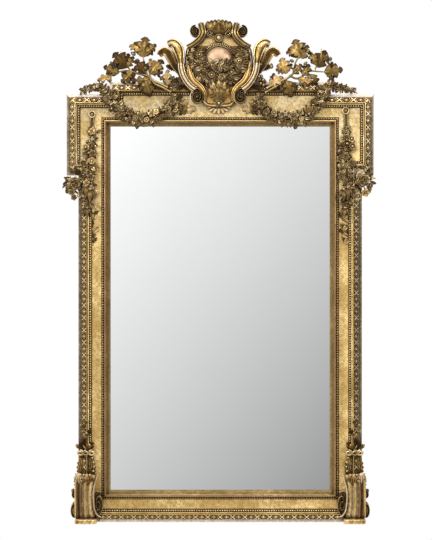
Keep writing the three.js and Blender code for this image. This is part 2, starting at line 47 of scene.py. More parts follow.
# Everything is carved lying face up in millimetres: x right, y above the bottom edge, z out of the wall
mm = 0.001
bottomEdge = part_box("frame")[0].z
toWall = (Matrix.Translation((0, 0, bottomEdge)) @ Matrix.Rotation(math.pi / 2, 4, "X")
          @ Matrix.Scale(mm, 4))


# Nodes that the finishes are put together from

def plug(tree, value, slot):  # links a socket, or sets a plain number or colour
    if isinstance(value, bpy.types.NodeSocket):
        tree.links.new(value, slot)
    else:
        slot.default_value = value


def noise(tree, vector, scale, detail, rough=0.55):
    node = tree.nodes.new("ShaderNodeTexNoise")
    for label, value in (("Vector", vector), ("Scale", scale), ("Detail", detail), ("Roughness", rough)):
        plug(tree, value, node.inputs[label])
    return node.outputs["Fac"]


def span(tree, value, low, high, toLow=0.0, toHigh=1.0):  # stretches one range of values on to another
    node = tree.nodes.new("ShaderNodeMapRange")
    labels = ("Value", "From Min", "From Max", "To Min", "To Max")
    for label, number in zip(labels, (value, low, high, toLow, toHigh)):
        plug(tree, number, node.inputs[label])
    return node.outputs["Result"]


def patches(tree, vector, levels, gives=(0.0, 1.0), **pattern):  # noise between two levels, as a mask
    return span(tree, noise(tree, vector, **pattern), *levels, *gives)


def maths(tree, kind, first, second=0.0):
    node = tree.nodes.new("ShaderNodeMath")
    node.operation = kind
    plug(tree, first, node.inputs[0])
    plug(tree, second, node.inputs[1])
    return node.outputs[0]


def mixed(tree, factor, first, second):
    node = tree.nodes.new("ShaderNodeMix")
    node.data_type = "RGBA"
    for label, value in (("Factor_Float", factor), ("A_Color", first), ("B_Color", second)):
        plug(tree, value, next(slot for slot in node.inputs if slot.identifier == label))
    return next(slot for slot in node.outputs if slot.identifier == "Result_Color")


def newMaterial(name):  # the material, its tree, its shader and the object coordinates
    material = bpy.data.materials.new(name)
    material.use_nodes = True
    tree = material.node_tree
    where = tree.nodes.new("ShaderNodeTexCoord").outputs["Object"]
    return material, tree, tree.nodes["Principled BSDF"], where


def bumped(tree, shader, height, strength, distance):
    relief = tree.nodes.new("ShaderNodeBump")
    relief.inputs["Strength"].default_value = strength
    relief.inputs["Distance"].default_value = distance
    tree.links.new(height, relief.inputs["Height"])
    tree.links.new(relief.outputs["Normal"], shader.inputs["Normal"])


# Shader groups that all the gilt finishes share

def newGroup(name, inputs, outputs):
    group = bpy.data.node_groups.new(name, "ShaderNodeTree")
    for label, kind, start in inputs:
        socket = group.interface.new_socket(name=label, in_out="INPUT", socket_type="NodeSocket" + kind)
        if start is not None:
            socket.default_value = start
    for label, kind in outputs:
        group.interface.new_socket(name=label, in_out="OUTPUT", socket_type="NodeSocket" + kind)
    return group, group.nodes.new("NodeGroupInput").outputs, group.nodes.new("NodeGroupOutput").inputs


def placed(tree, group, values):
    node = tree.nodes.new("ShaderNodeGroup")
    node.node_tree = group
    for label, value in values.items():
        plug(tree, value, node.inputs[label])
    return node.outputs


leafPattern = {
    "cloud": {"scale": 9, "detail": 5, "levels": (0.36, 0.66)},
    "blotch": {"scale": 24, "detail": 6, "rough": 0.65, "levels": (0.44, 0.62), "gives": (0, 0.75)},
    "speck": {"scale": 120, "detail": 4, "levels": (0.42, 0.62), "gives": (0, 0.55)},
    "rubbed": {"scale": 34, "detail": 8, "rough": 0.68},
    "grain": {"scale": 260, "detail": 3}, "ripple": {"scale": 40, "detail": 3},
    "rubReach": (0.74, 0.42), "edgeReach": 0.1, "rubEdge": 0.07, "metal": (0.86, 0.1), "grainHeight": 0.35,
}
sootAndShadePattern = {
    "drift": {"scale": 55, "detail": 5, "levels": (0.3, 0.7), "gives": (0.65, 1.35)},
    "cloud": {"scale": 30, "detail": 4, "levels": (0.3, 0.7), "gives": (-0.06, 0.08)},
    "dirtAndShade": (0.036, 0.017, 0.006, 1), "most": 0.96, "metalLeft": 0.15, "rougher": 0.35,
}


def leafGroup():  # gold leaf laid over red bole, rubbed through in places
    tree, given, out = newGroup(
        "leafOverBole",
        (("Vector", "Vector", None), ("Leaf", "Color", None), ("Shade", "Color", None),
         ("Bole", "Color", None), ("Rub", "Float", 0.3), ("Edge", "Float", 0.0)),
        (("Color", "Color"), ("Metallic", "Float"), ("Height", "Float")))
    plan, where = leafPattern, given["Vector"]
    leafTone = mixed(tree, patches(tree, where, **plan["cloud"]), given["Leaf"], given["Shade"])
    leafTone = mixed(tree, patches(tree, where, **plan["blotch"]), leafTone, given["Shade"])
    leafTone = mixed(tree, patches(tree, where, **plan["speck"]), leafTone, given["Bole"])
    reach = span(tree, given["Rub"], 0, 1, *plan["rubReach"])
    reach = maths(tree, "SUBTRACT", reach, maths(tree, "MULTIPLY", given["Edge"], plan["edgeReach"]))
    bare = span(tree, noise(tree, where, **plan["rubbed"]), reach,
                maths(tree, "ADD", reach, plan["rubEdge"]))
    tree.links.new(mixed(tree, bare, leafTone, given["Bole"]), out["Color"])
    tree.links.new(span(tree, bare, 0, 1, *plan["metal"]), out["Metallic"])
    grain = maths(tree, "MULTIPLY", noise(tree, where, **plan["grain"]), plan["grainHeight"])
    tree.links.new(maths(tree, "ADD", grain, noise(tree, where, **plan["ripple"])), out["Height"])
    return tree


def dirtAndShadeGroup():  # soot and old varnish gathered in the hollows, darkened further there with painted shade from ambient occlusion and the soot values
    tree, given, out = newGroup(
        "sootAndShadeInHollows",
        (("Vector", "Vector", None), ("Color", "Color", None), ("Metallic", "Float", 0.8),
         ("DirtAndShade", "Color", sootAndShadePattern["dirtAndShade"]), ("Hollow", "Float", 0.0), ("SootAndShade", "Float", 0.0),
         ("Amount", "Float", 1.0), ("Sheen", "Float", 0.38)),
        (("Color", "Color"), ("Metallic", "Float"), ("Roughness", "Float")))
    plan, where = sootAndShadePattern, given["Vector"]
    mask = maths(tree, "MULTIPLY", maths(tree, "ADD", given["Hollow"], given["SootAndShade"]), given["Amount"])
    mask = maths(tree, "MULTIPLY", mask, patches(tree, where, **plan["drift"]))
    mask = span(tree, mask, 0, 1, 0, plan["most"])
    tree.links.new(mixed(tree, mask, given["Color"], given["DirtAndShade"]), out["Color"])
    metal = maths(tree, "MULTIPLY", given["Metallic"], span(tree, mask, 0, 1, 1, plan["metalLeft"]))
    tree.links.new(metal, out["Metallic"])
    rough = maths(tree, "ADD", given["Sheen"], patches(tree, where, **plan["cloud"]))
    rough = maths(tree, "ADD", rough, maths(tree, "MULTIPLY", mask, plan["rougher"]))
    tree.links.new(rough, out["Roughness"])
    return tree


leafOverBole = leafGroup()
sootAndShadeInHollows = dirtAndShadeGroup()

# What counts as an edge (rubbed, with a painted highlight), a groove or a closed place (soot and painted
# shade), and where the top is painted paler as painted light, in metres
wearAndPaintedLight = {"edge": (0.53, 0.66), "cavity": (0.49, 0.4, 0, 0.5), "closed": (0.94, 0.5),
        "paintedLightFrom": (-0.5, 0.06), "paintedLightShade": 0.6, "specular": 0.06, "bump": 0.3, "bumpDepth": 0.0006}


# A gilt finish: leaf over bole, rubbed through at edges that also get a painted highlight, soot and painted
# shade in the hollows, and, for the pale leaf, painted light towards the top
def gilding(name, leaf, shade, bole, rub, dirtAndShade, sheen=0.36, reach=0.014, highlightTone=(0.86, 0.62, 0.3),
            edges=0.4, paintedLightTop=None):
    material, tree, shader, where = newMaterial(name)
    leaf, shade, bole, highlightTone = ((*colour, 1) for colour in (leaf, shade, bole, highlightTone))
    # painted shade: grooves from pointiness and closed places from ambient occlusion, including places
    # between parts, darken the colour together with soot
    curve = tree.nodes.new("ShaderNodeNewGeometry").outputs["Pointiness"]
    hollow = tree.nodes.new("ShaderNodeAmbientOcclusion")
    hollow.samples = 8
    hollow.inputs["Distance"].default_value = reach
    sootAndShade = tree.nodes.new("ShaderNodeAttribute")
    sootAndShade.attribute_name = "sootAndShade"
    edge = span(tree, curve, *wearAndPaintedLight["edge"])
    cavity = span(tree, curve, *wearAndPaintedLight["cavity"])
    closed = span(tree, hollow.outputs["AO"], *wearAndPaintedLight["closed"])
    laid = {"Vector": where, "Leaf": leaf, "Shade": shade, "Bole": bole, "Rub": rub, "Edge": edge}
    if paintedLightTop is not None:  # painted light: the leaf is painted paler towards the top of the frame
        parts = tree.nodes.new("ShaderNodeSeparateXYZ")
        tree.links.new(where, parts.inputs[0])
        paintedLight = span(tree, parts.outputs["Z"], *wearAndPaintedLight["paintedLightFrom"])
        laid["Leaf"] = mixed(tree, paintedLight, leaf, (*paintedLightTop, 1))
        laid["Shade"] = mixed(tree, maths(tree, "MULTIPLY", paintedLight, wearAndPaintedLight["paintedLightShade"]), shade, leaf)
    over = placed(tree, leafOverBole, laid)
    # painted highlight: edges are mixed towards a pale highlight tone
    highlighted = mixed(tree, maths(tree, "MULTIPLY", edge, edges), over["Color"], highlightTone)
    dust = placed(tree, sootAndShadeInHollows, {
        "Vector": where, "Color": highlighted, "Metallic": over["Metallic"],
        "Hollow": maths(tree, "ADD", closed, cavity), "SootAndShade": sootAndShade.outputs["Fac"],
        "Amount": dirtAndShade, "Sheen": sheen})
    shader.inputs["Specular IOR Level"].default_value = wearAndPaintedLight["specular"]
    for label, slot in (("Color", "Base Color"), ("Metallic", "Metallic"), ("Roughness", "Roughness")):
        tree.links.new(dust[label], shader.inputs[slot])
    bumped(tree, shader, over["Height"], wearAndPaintedLight["bump"], wearAndPaintedLight["bumpDepth"])
    return material


# each finish's edge tone is the colour of its painted highlight
gilts = {
    # the pale leaf is painted paler towards the top, as painted light
    "pale": {"name": "paleLeaf", "leaf": (1.0, 0.75, 0.335), "shade": (0.53, 0.345, 0.11),
             "bole": (0.34, 0.19, 0.06), "rub": 0.2, "dirtAndShade": 0.36, "sheen": 0.42,
             "paintedLightTop": (1.0, 0.89, 0.62)},
    "strip": {"name": "wornStrip", "leaf": (0.2, 0.14, 0.085), "shade": (0.11, 0.075, 0.045),
              "bole": (0.42, 0.33, 0.22), "rub": 0.46, "dirtAndShade": 0.7, "sheen": 0.5,
              "highlightTone": (0.6, 0.5, 0.36)},
    "deep": {"name": "ribbonGround", "leaf": (0.17, 0.092, 0.024), "shade": (0.095, 0.047, 0.013),
             "bole": (0.06, 0.025, 0.009), "rub": 0.35, "dirtAndShade": 1.2, "sheen": 0.45},
    "bole": {"name": "redBole", "leaf": (0.36, 0.225, 0.1), "shade": (0.22, 0.125, 0.052),
             "bole": (0.16, 0.07, 0.032), "rub": 0.4, "dirtAndShade": 0.9, "sheen": 0.42,
             "highlightTone": (0.5, 0.35, 0.18)},
    "bright": {"name": "brightLeaf", "leaf": (1.0, 0.76, 0.33), "shade": (0.72, 0.48, 0.15),
               "bole": (0.26, 0.13, 0.05), "rub": 0.16, "dirtAndShade": 1.2, "sheen": 0.3, "reach": 0.018,
               "highlightTone": (1.0, 0.9, 0.62), "edges": 0.6},
    "olive": {"name": "oliveLeaf", "leaf": (0.4, 0.29, 0.12), "shade": (0.24, 0.165, 0.06),
              "bole": (0.2, 0.1, 0.04), "rub": 0.2, "dirtAndShade": 0.7},
    "aged": {"name": "agedLeaf", "leaf": (0.52, 0.36, 0.115), "shade": (0.27, 0.165, 0.045),
             "bole": (0.1, 0.045, 0.017), "rub": 0.26, "dirtAndShade": 1.8, "sheen": 0.3, "reach": 0.022,
             "highlightTone": (1.0, 0.82, 0.46), "edges": 0.6},
    "dark": {"name": "sootedLeaf", "leaf": (0.2, 0.12, 0.03), "shade": (0.09, 0.05, 0.011),
             "bole": (0.045, 0.022, 0.009), "rub": 0.3, "dirtAndShade": 2.0, "sheen": 0.28, "reach": 0.024,
             "highlightTone": (0.95, 0.7, 0.34), "edges": 0.7},
    "cream": {"name": "creamGesso", "leaf": (0.98, 0.8, 0.5), "shade": (0.8, 0.56, 0.27),
              "bole": (0.5, 0.3, 0.16), "rub": 0.26, "dirtAndShade": 1.2, "sheen": 0.42, "reach": 0.016,
              "highlightTone": (1.0, 0.92, 0.74)},
    "plain": {"name": "plainOchre", "leaf": (0.42, 0.29, 0.13), "shade": (0.3, 0.19, 0.08),
              "bole": (0.3, 0.2, 0.12), "rub": 0.3, "dirtAndShade": 0.5, "sheen": 0.6},
    "chalk": {"name": "chalkEdge", "leaf": (0.95, 0.86, 0.74), "shade": (0.82, 0.7, 0.56),
              "bole": (0.45, 0.34, 0.24), "rub": 0.22, "dirtAndShade": 0.6, "sheen": 0.5},
    "blush": {"name": "blushGesso", "leaf": (0.46, 0.37, 0.235), "shade": (0.38, 0.27, 0.165),
              "bole": (0.37, 0.15, 0.1), "rub": 0.6, "dirtAndShade": 0.7, "sheen": 0.45,
              "highlightTone": (0.45, 0.36, 0.24)},
    "amber": {"name": "amberLeaf", "leaf": (0.8, 0.54, 0.19), "shade": (0.52, 0.31, 0.09),
              "bole": (0.26, 0.12, 0.045), "rub": 0.26, "dirtAndShade": 1.1, "sheen": 0.34, "reach": 0.018,
              "highlightTone": (1.0, 0.8, 0.44), "edges": 0.55},
    "honey": {"name": "honeyLeaf", "leaf": (0.82, 0.63, 0.32), "shade": (0.56, 0.38, 0.16),
              "bole": (0.28, 0.15, 0.06), "rub": 0.26, "dirtAndShade": 1.0, "sheen": 0.4, "reach": 0.018,
              "highlightTone": (1.0, 0.86, 0.58)},
}
finishes = [gilding(**plan) for plan in gilts.values()]
coat = {tone: index for index, tone in enumerate(gilts)}
print("gilt finishes made:", len(finishes))


# Ways of working the carving

# Each vertex carries a soot value that darkens its finish: soot in grooves, and painted shade in grooves,
# under forms and round their feet
def newCarving():
    bm = bmesh.new()
    bm.verts.layers.float.new("sootAndShade")
    return bm


def sootAndShadeBy(bm, verts, rule):  # soot and painted shade at each point, by a rule of its place
    layer = bm.verts.layers.float["sootAndShade"]
    for vert in verts:
        vert[layer] = rule(vert.co)


def coatFaces(faces, tone):  # the finish is a name, or a rule that names one by the face's place
    for face in faces:
        face.material_index = coat[tone(face.calc_center_median()) if callable(tone) else tone]


def tint(verts, tone):
    coatFaces({face for vert in verts for face in vert.link_faces}, tone)


def turning(place, heading, lean, roll):
    return (Matrix.Translation(place) @ Matrix.Rotation(math.radians(heading), 4, "Z")
            @ Matrix.Rotation(math.radians(-lean), 4, "Y") @ Matrix.Rotation(math.radians(roll), 4, "X"))


def turned(bm, verts, place, heading=0, lean=0):
    bmesh.ops.transform(bm, matrix=turning(place, heading, lean, 0), verts=verts)


def bentSheet(bm, along, across, rule, thick):  # a grid bent by a rule into a leaf or petal
    start = len(bm.verts)
    made = bmesh.ops.create_grid(bm, x_segments=along, y_segments=across, size=1)["verts"]
    sootAndShade = bm.verts.layers.float["sootAndShade"]
    for vert in made:
        vert.co, vert[sootAndShade] = rule((vert.co.x + 1) / 2, vert.co.y)
    sheet = list({face for vert in made for face in vert.link_faces})
    bmesh.ops.solidify(bm, geom=sheet, thickness=thick)
    bm.verts.ensure_lookup_table()
    return bm.verts[start:]


def ball(bm, place, size, cuts, tone="pale"):  # a ball pressed to size
    around, down = cuts
    made = bmesh.ops.create_uvsphere(bm, u_segments=around, v_segments=down, radius=1)["verts"]
    bmesh.ops.scale(bm, vec=size, verts=made)
    turned(bm, made, place)
    tint(made, tone)
    return made


def drum(bm, place, low, high, deep, sides, tone="pale", tall=1, lean=0):  # a short cone, made oval by tall
    made = bmesh.ops.create_cone(bm, cap_ends=True, segments=sides, radius1=low, radius2=high,
                                 depth=deep)["verts"]
    bmesh.ops.scale(bm, vec=(1, tall, 1), verts=made)
    turned(bm, made, place, 0, lean)
    tint(made, tone)
    return made


def block(bm, place, size, tone):
    made = bmesh.ops.create_cube(bm, size=1)["verts"]
    bmesh.ops.scale(bm, vec=size, verts=made)
    turned(bm, made, place)
    tint(made, tone)
    return made


def closeHoles(bm):
    bmesh.ops.holes_fill(bm, edges=[edge for edge in bm.edges if edge.is_boundary], sides=0)


def loopFace(bm, corners, z):
    face = bm.faces.new([bm.verts.new((corner.x, corner.y, z)) for corner in corners])
    face.normal_update()
    return face


def stepIn(bm, face, inset, rise, tone, even=True):  # a step inwards and up or down, with its wall coated
    rim = bmesh.ops.inset_region(bm, faces=[face], thickness=inset, depth=rise, use_even_offset=even,
                                 use_boundary=True)["faces"]
    coatFaces(rim, tone)


def kept(bm, name):  # keeps a finished form as a mould for stamping
    bmesh.ops.recalc_face_normals(bm, faces=bm.faces)
    mesh = bpy.data.meshes.new(name)
    bm.to_mesh(mesh)
    bm.free()
    return mesh


def stamp(bm, mould, place, size=1, heading=0, lean=0, roll=0, tone=None):
    scale = size if isinstance(size, tuple) else (size, size, size)
    copy = mould.copy()
    copy.transform(turning(place, heading, lean, roll) @ Matrix.Diagonal((*scale, 1)))
    if tone is not None:
        copy.polygons.foreach_set("material_index", [coat[tone]] * len(copy.polygons))
    bm.from_mesh(copy)
    bpy.data.meshes.remove(copy)


def evenRoute(points, spacing):  # a smooth line through the points, cut into equal steps
    knots = [Vector(point) for point in points]
    last = len(knots) - 1
    finer = 16
    dense = []
    for k in range(last):
        a, b, c, d = knots[max(k - 1, 0)], knots[k], knots[k + 1], knots[min(k + 2, last)]
        for step in range(finer):
            t = step / finer
            dense.append(0.5 * (2 * b + (c - a) * t + (2 * a - 5 * b + 4 * c - d) * t * t
                                + (3 * b - a - 3 * c + d) * t ** 3))
    dense.append(knots[-1])
    reach = [0.0]
    for first, second in zip(dense, dense[1:]):
        reach.append(reach[-1] + (second - first).length)
    count = max(2, round(reach[-1] / spacing))
    line, k = [], 0
    for step in range(count + 1):
        goal = reach[-1] * step / count
        while k < len(dense) - 2 and reach[k + 1] < goal:
            k += 1
        part = (goal - reach[k]) / max(reach[k + 1] - reach[k], 1e-6)
        line.append(dense[k].lerp(dense[k + 1], min(max(part, 0), 1)))
    return line


# An arc, ring or volute: it winds by turn, shrinks towards its end, and stands taller than wide by tall
def scroll(centre, radius, start, turn, z, steps, tall=1, shrink=0.0, ease=1, lift=0):
    line = []
    for step in range(steps + 1):
        t = step / steps
        angle = math.radians(start + turn * t)
        reach = radius * (1 - shrink * t ** ease)
        line.append(Vector((centre[0] + reach * math.cos(angle), centre[1] + reach * tall * math.sin(angle),
                            z + lift * t)))
    return line


def ring(centre, radius, z, steps):
    return scroll(centre, radius, 0, 356, z, steps)


def swelling(wide, deep, start=0.3, end=0.3, peak=0.5):  # thin at the ends, full in the middle
    def size(t):
        if t < peak:
            full = start + (1 - start) * math.sin(math.pi / 2 * t / peak)
        else:
            full = end + (1 - end) * math.sin(math.pi / 2 * (1 - t) / (1 - peak))
        return wide * full, deep * full
    return size


def sweep(bm, line, section, size, tone):  # runs a section along a line
    steps, sides = len(line) - 1, len(section)
    made = bmesh.ops.create_grid(bm, x_segments=steps, y_segments=sides, size=1)["verts"]
    layer = bm.verts.layers.float["sootAndShade"]
    for vert in made:
        i = round((vert.co.x + 1) / 2 * steps)
        j = round((vert.co.y + 1) / 2 * sides) % sides
        ahead = (line[min(i + 1, steps)] - line[max(i - 1, 0)]).normalized()
        side = ahead.cross(Vector((0, 0, 1))).normalized()
        out = side.cross(ahead)
        wide, deep = size(i / steps)
        vert.co = line[i] + side * section[j][0] * wide + out * section[j][1] * deep
        vert[layer] = section[j][2] if len(section[j]) > 2 else 0
    tint(made, tone)
    bmesh.ops.remove_doubles(bm, verts=made, dist=0.002)
    rims = {edge for vert in made if vert.is_valid for edge in vert.link_edges if edge.is_boundary}
    coatFaces(bmesh.ops.holes_fill(bm, edges=list(rims), sides=0)["faces"], tone)


# Sections run across the line and out from it, and some points carry soot and painted shade as a third number
roundSection = [(math.cos(a), math.sin(a)) for a in (math.tau * k / 8 for k in range(8))]
scrollSection = [(-1, -0.8, 0.6), (-1, 0.2, 0.4), (-0.9, 0.62), (-0.72, 0.7), (-0.6, 0.5, 0.5),
                 (-0.5, 0.52, 0.2), (-0.25, 0.82), (0, 0.92), (0.25, 0.82), (0.5, 0.52, 0.2),
                 (0.6, 0.5, 0.5), (0.72, 0.7), (0.9, 0.62), (1, 0.2, 0.4), (1, -0.8, 0.6)]
hollowSection = [(-1, -0.8, 0.5), (-1, 0.5), (-0.88, 0.95), (-0.7, 1), (-0.56, 0.7, 0.3), (-0.3, 0.34, 0.6),
                 (0, 0.24, 0.7), (0.3, 0.34, 0.6), (0.56, 0.7, 0.3), (0.7, 1), (0.88, 0.95), (1, 0.5),
                 (1, -0.8, 0.5)]
strapSection = [(-1, -1, 0.5), (-1, 0.5, 0.3), (-0.8, 0.9), (-0.55, 0.9), (-0.4, 0.3, 0.6), (0, 0.6),
                (0.4, 0.3, 0.6), (0.55, 0.9), (0.8, 0.9), (1, 0.5, 0.3), (1, -1, 0.5)]


def hang(bm, name, node):  # turns a carving up on to the wall as a piece of its own
    bmesh.ops.recalc_face_normals(bm, faces=bm.faces)
    bmesh.ops.transform(bm, matrix=toWall, verts=bm.verts)
    used = sorted({face.material_index for face in bm.faces})
    for face in bm.faces:
        face.material_index = used.index(face.material_index)
    mesh = bpy.data.meshes.new(name)
    bm.to_mesh(mesh)
    bm.free()
    for index in used:
        mesh.materials.append(finishes[index])
    mesh.shade_smooth()
    mesh.set_sharp_from_angle(angle=math.radians(38))
    piece = bpy.data.objects.new(name, mesh)
    bpy.context.scene.collection.objects.link(piece)
    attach(piece, "root")
    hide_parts(node)
    print(name, "carved:", sum(len(face.vertices) - 2 for face in mesh.polygons), "triangles")


# Moulds: small forms carved once and stamped many times, pointing along +x and facing +z

def oakLeafMould(curl, lobes=2.4):
    bm = newCarving()

    def rule(t, s):
        envelope = math.sin(math.pi * min(0.93, 0.05 + 0.88 * t ** 0.8)) ** 0.6
        lobe = 0.24 + 0.76 * abs(math.sin(math.pi * (lobes * t + 0.06))) ** 0.8
        half = 0.5 * max(0.07, envelope * lobe)
        x = t + 0.2 * abs(s) * half * (1 - t) - 0.12 * s * s * t ** 6
        z = (0.1 * s * s * half + 0.05 * math.sin(math.pi * t) - curl * t ** 2.2 - 0.08 * abs(s) ** 3
             + 0.04 * abs(s) * math.cos(math.tau * (lobes * t + 0.06)) + (0.03 if s == 0 else 0))
        return Vector((x, s * half, z)), 0.95 * abs(s) ** 3 + 0.5 * t ** 5 + (0.35 if abs(s) == 0.25 else 0)

    bentSheet(bm, 20, 8, rule, 0.045)
    return kept(bm, "oakLeaf")


def slimLeafMould():
    bm = newCarving()

    def rule(t, s):
        half = 0.5 * math.sin(math.pi * min(0.88, 0.06 + 0.82 * t)) ** 0.7
        z = 0.24 * abs(s) * half + 0.16 * math.sin(math.pi * t) - 0.12 * t * t
        return Vector((t * (1 - 0.12 * s * s * t), s * half, z)), 0.6 * (1 - abs(s)) + 0.2 * t

    bentSheet(bm, 6, 2, rule, 0.07)
    return kept(bm, "slimLeaf")


def acanthusMould():
    bm = newCarving()
    lobes, curl, furrows = 5, 0.3, 4

    def rule(t, s):
        envelope = math.sin(math.pi * min(1, 0.08 + 0.92 * t ** 0.8)) ** 0.5 if t < 1 else 0.1
        tooth = 0.62 + 0.38 * abs(math.sin(math.pi * lobes * t))
        half = 0.5 * max(0.08, envelope * tooth)
        x = t + 0.3 * abs(s) * half * (1 - t)
        wave = math.cos(math.pi * furrows * s)
        z = (0.16 * math.sin(math.pi * t ** 1.4) + curl * t ** 3 * (1.25 - t)
             + 0.05 * wave * math.sin(math.pi * min(1, t * 1.1)) - 0.12 * s * s)
        sootAndShade = 0.55 * (0.5 - 0.5 * wave) ** 2 + 0.3 * (1 - t) ** 3
        return Vector((x - 0.18 * curl * t ** 6, s * half, z)), sootAndShade

    bentSheet(bm, 20, 8, rule, 0.05)
    return kept(bm, "acanthus")


def petal(bm, length, width, cup, rolled, along, across, notch=0.0, thick=0.06):
    def rule(t, s):
        half = width / 2 * math.sin(math.pi * min(0.88, 0.1 + 0.78 * t)) ** 0.6 * min(1, 0.4 + 1.6 * t)
        x = length * t * (1 - notch * (1 - abs(s)) * t ** 3 - 0.2 * s * s * t)
        z = cup * length * (t ** 0.8 * 0.6 + s * s * 0.22) - rolled * length * t ** 4
        return Vector((x, s * half, z)), 0.95 * (1 - t) ** 1.5

    return bentSheet(bm, along, across, rule, thick)


roseRings = {  # each ring as (petals, start, lean, length, width, rolled)
    "rose": ((6, 0, 8, 1.0, 0.95, 0.25), (5, 30, 34, 0.8, 0.85, 0.3), (4, 10, 58, 0.62, 0.7, 0.22),
             (3, 50, 76, 0.5, 0.5, 0.1)),
    "smallRose": ((5, 0, 12, 1.0, 1.1, 0.3), (4, 30, 44, 0.74, 0.85, 0.25), (3, 0, 70, 0.55, 0.6, 0.1)),
}


def roseMould(rings, cuts):
    bm = newCarving()
    for count, start, lean, length, width, rolled in rings:
        for k in range(count):
            made = petal(bm, length, width, 0.25, rolled, cuts, cuts)
            heading = 360 * k / count + start
            offset = Vector((math.cos(math.radians(heading)), math.sin(math.radians(heading)), 0)) * 0.1
            turned(bm, made, offset, heading, lean)
    heart = drum(bm, (0, 0, 0.42), 0.24, 0.1, 0.5, 8)
    sootAndShadeBy(bm, heart, lambda spot: 0.3)
    return kept(bm, "rose")


def blossomMould(petals, lean, along, across):
    bm = newCarving()
    for k in range(petals):
        made = petal(bm, 1, 1.15 if petals < 6 else 0.95, 0.3, 0.22, along, across, notch=0.1, thick=0.08)
        turned(bm, made, (0, 0, 0), 360 * k / petals + 18, lean)
    ball(bm, (0, 0, 0.16), (0.26, 0.26, 0.26), (6, 3))
    return kept(bm, "blossom")


def berryMould():
    bm = newCarving()
    # painted shade: the berry is darkened below its middle
    sootAndShadeBy(bm, ball(bm, (0, 0, 0), (1, 1, 1), (8, 5)), lambda spot: max(0.0, 0.7 - 1.6 * max(0.0, spot.z)))
    return kept(bm, "berry")


def budMould():  # a tight bud in its cup, along +x
    bm = newCarving()
    layer = bm.verts.layers.float["sootAndShade"]
    for vert in ball(bm, (0, 0, 0), (0.5, 0.5, 0.5), (10, 7)):
        ridge = 1 + 0.12 * math.cos(5 * math.atan2(vert.co.y, vert.co.x))
        taper = 1 - 0.35 * (vert.co.z + 0.5)
        vert[layer] = 0.5 if ridge < 1 else 0.0
        vert.co = Vector((0.5 + vert.co.z * 1.2, vert.co.x * ridge * taper, vert.co.y * ridge * taper))
    drum(bm, (0.1, 0, 0), 0.18, 0.46, 0.4, 8, lean=-90)
    return kept(bm, "bud")


def huskMould():  # three slender bell petals opening along +x
    bm = newCarving()
    for heading, size, rise in ((28, 0.85, 0), (-28, 0.85, 0), (0, 1.0, 0.05)):
        def rule(t, s, size=size):
            half = 0.24 * max(0.12, math.sin(math.pi * t ** 0.7) ** 0.8)
            z = 0.3 * math.sin(math.pi * t) + 0.2 * t ** 3 - 0.3 * s * s * half
            return Vector((t, s * half, z)) * size, 0.6 * abs(s) ** 2 + 0.3 * (1 - t) ** 2
        turned(bm, bentSheet(bm, 7, 4, rule, 0.08), (0, 0, rise), heading)
    ball(bm, (0.02, 0, 0.1), (0.13, 0.13, 0.13), (7, 4))
    return kept(bm, "husk")


def beadMould():  # a ball cut off below, with soot and painted shade round its foot
    bm = newCarving()
    ball(bm, (0, 0, 0), (1, 1, 1), (8, 6))
    bmesh.ops.bisect_plane(bm, geom=bm.verts[:] + bm.edges[:] + bm.faces[:], plane_co=(0, 0, -0.1),
                           plane_no=(0, 0, -1), clear_outer=True)
    sootAndShadeBy(bm, bm.verts, lambda spot: 0.85 if spot.z < 0.3 else 0.0)
    closeHoles(bm)
    return kept(bm, "bead")


mould = {
    "oakLeaf": oakLeafMould(0.16),
    "oakLeafCurled": oakLeafMould(0.34),
    "slimLeaf": slimLeafMould(),
    "acanthus": acanthusMould(),
    "rose": roseMould(roseRings["rose"], 4),
    "smallRose": roseMould(roseRings["smallRose"], 3),
    "blossom": blossomMould(5, 14, 3, 4),
    "daisy": blossomMould(6, 12, 2, 2),
    "bud": budMould(),
    "berry": berryMould(),
    "husk": huskMould(),
    "bead": beadMould(),
}
print("moulds cut:", len(mould))


# The frame: outline in the face plane, with eared top corners and a raised middle

frameSize = {"halfWidth": 509, "earFoot": 1246, "top": 1536, "raiseHalf": 397, "frieze": 30,
             "chalkEdge": 12, "dullFrom": {"y": 1500, "z": 38}}
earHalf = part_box("frame")[1].x / mm
raiseTop = (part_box("frame")[1].z - bottomEdge) / mm
# The right half of the outline from the foot up, then both halves as one loop
rightSide = [(frameSize["halfWidth"], 0), (frameSize["halfWidth"], frameSize["earFoot"]),
             (earHalf, frameSize["earFoot"]), (earHalf, frameSize["top"]),
             (frameSize["raiseHalf"], frameSize["top"]), (frameSize["raiseHalf"], raiseTop)]
leftSide = [(-x, y) for x, y in rightSide]
outline = [Vector(corner) for corner in leftSide[:1] + rightSide + leftSide[:0:-1]]
mainBox = [Vector((x * frameSize["halfWidth"], y * frameSize["top"]))
           for x, y in ((-1, 0), (1, 0), (1, 1), (-1, 1))]
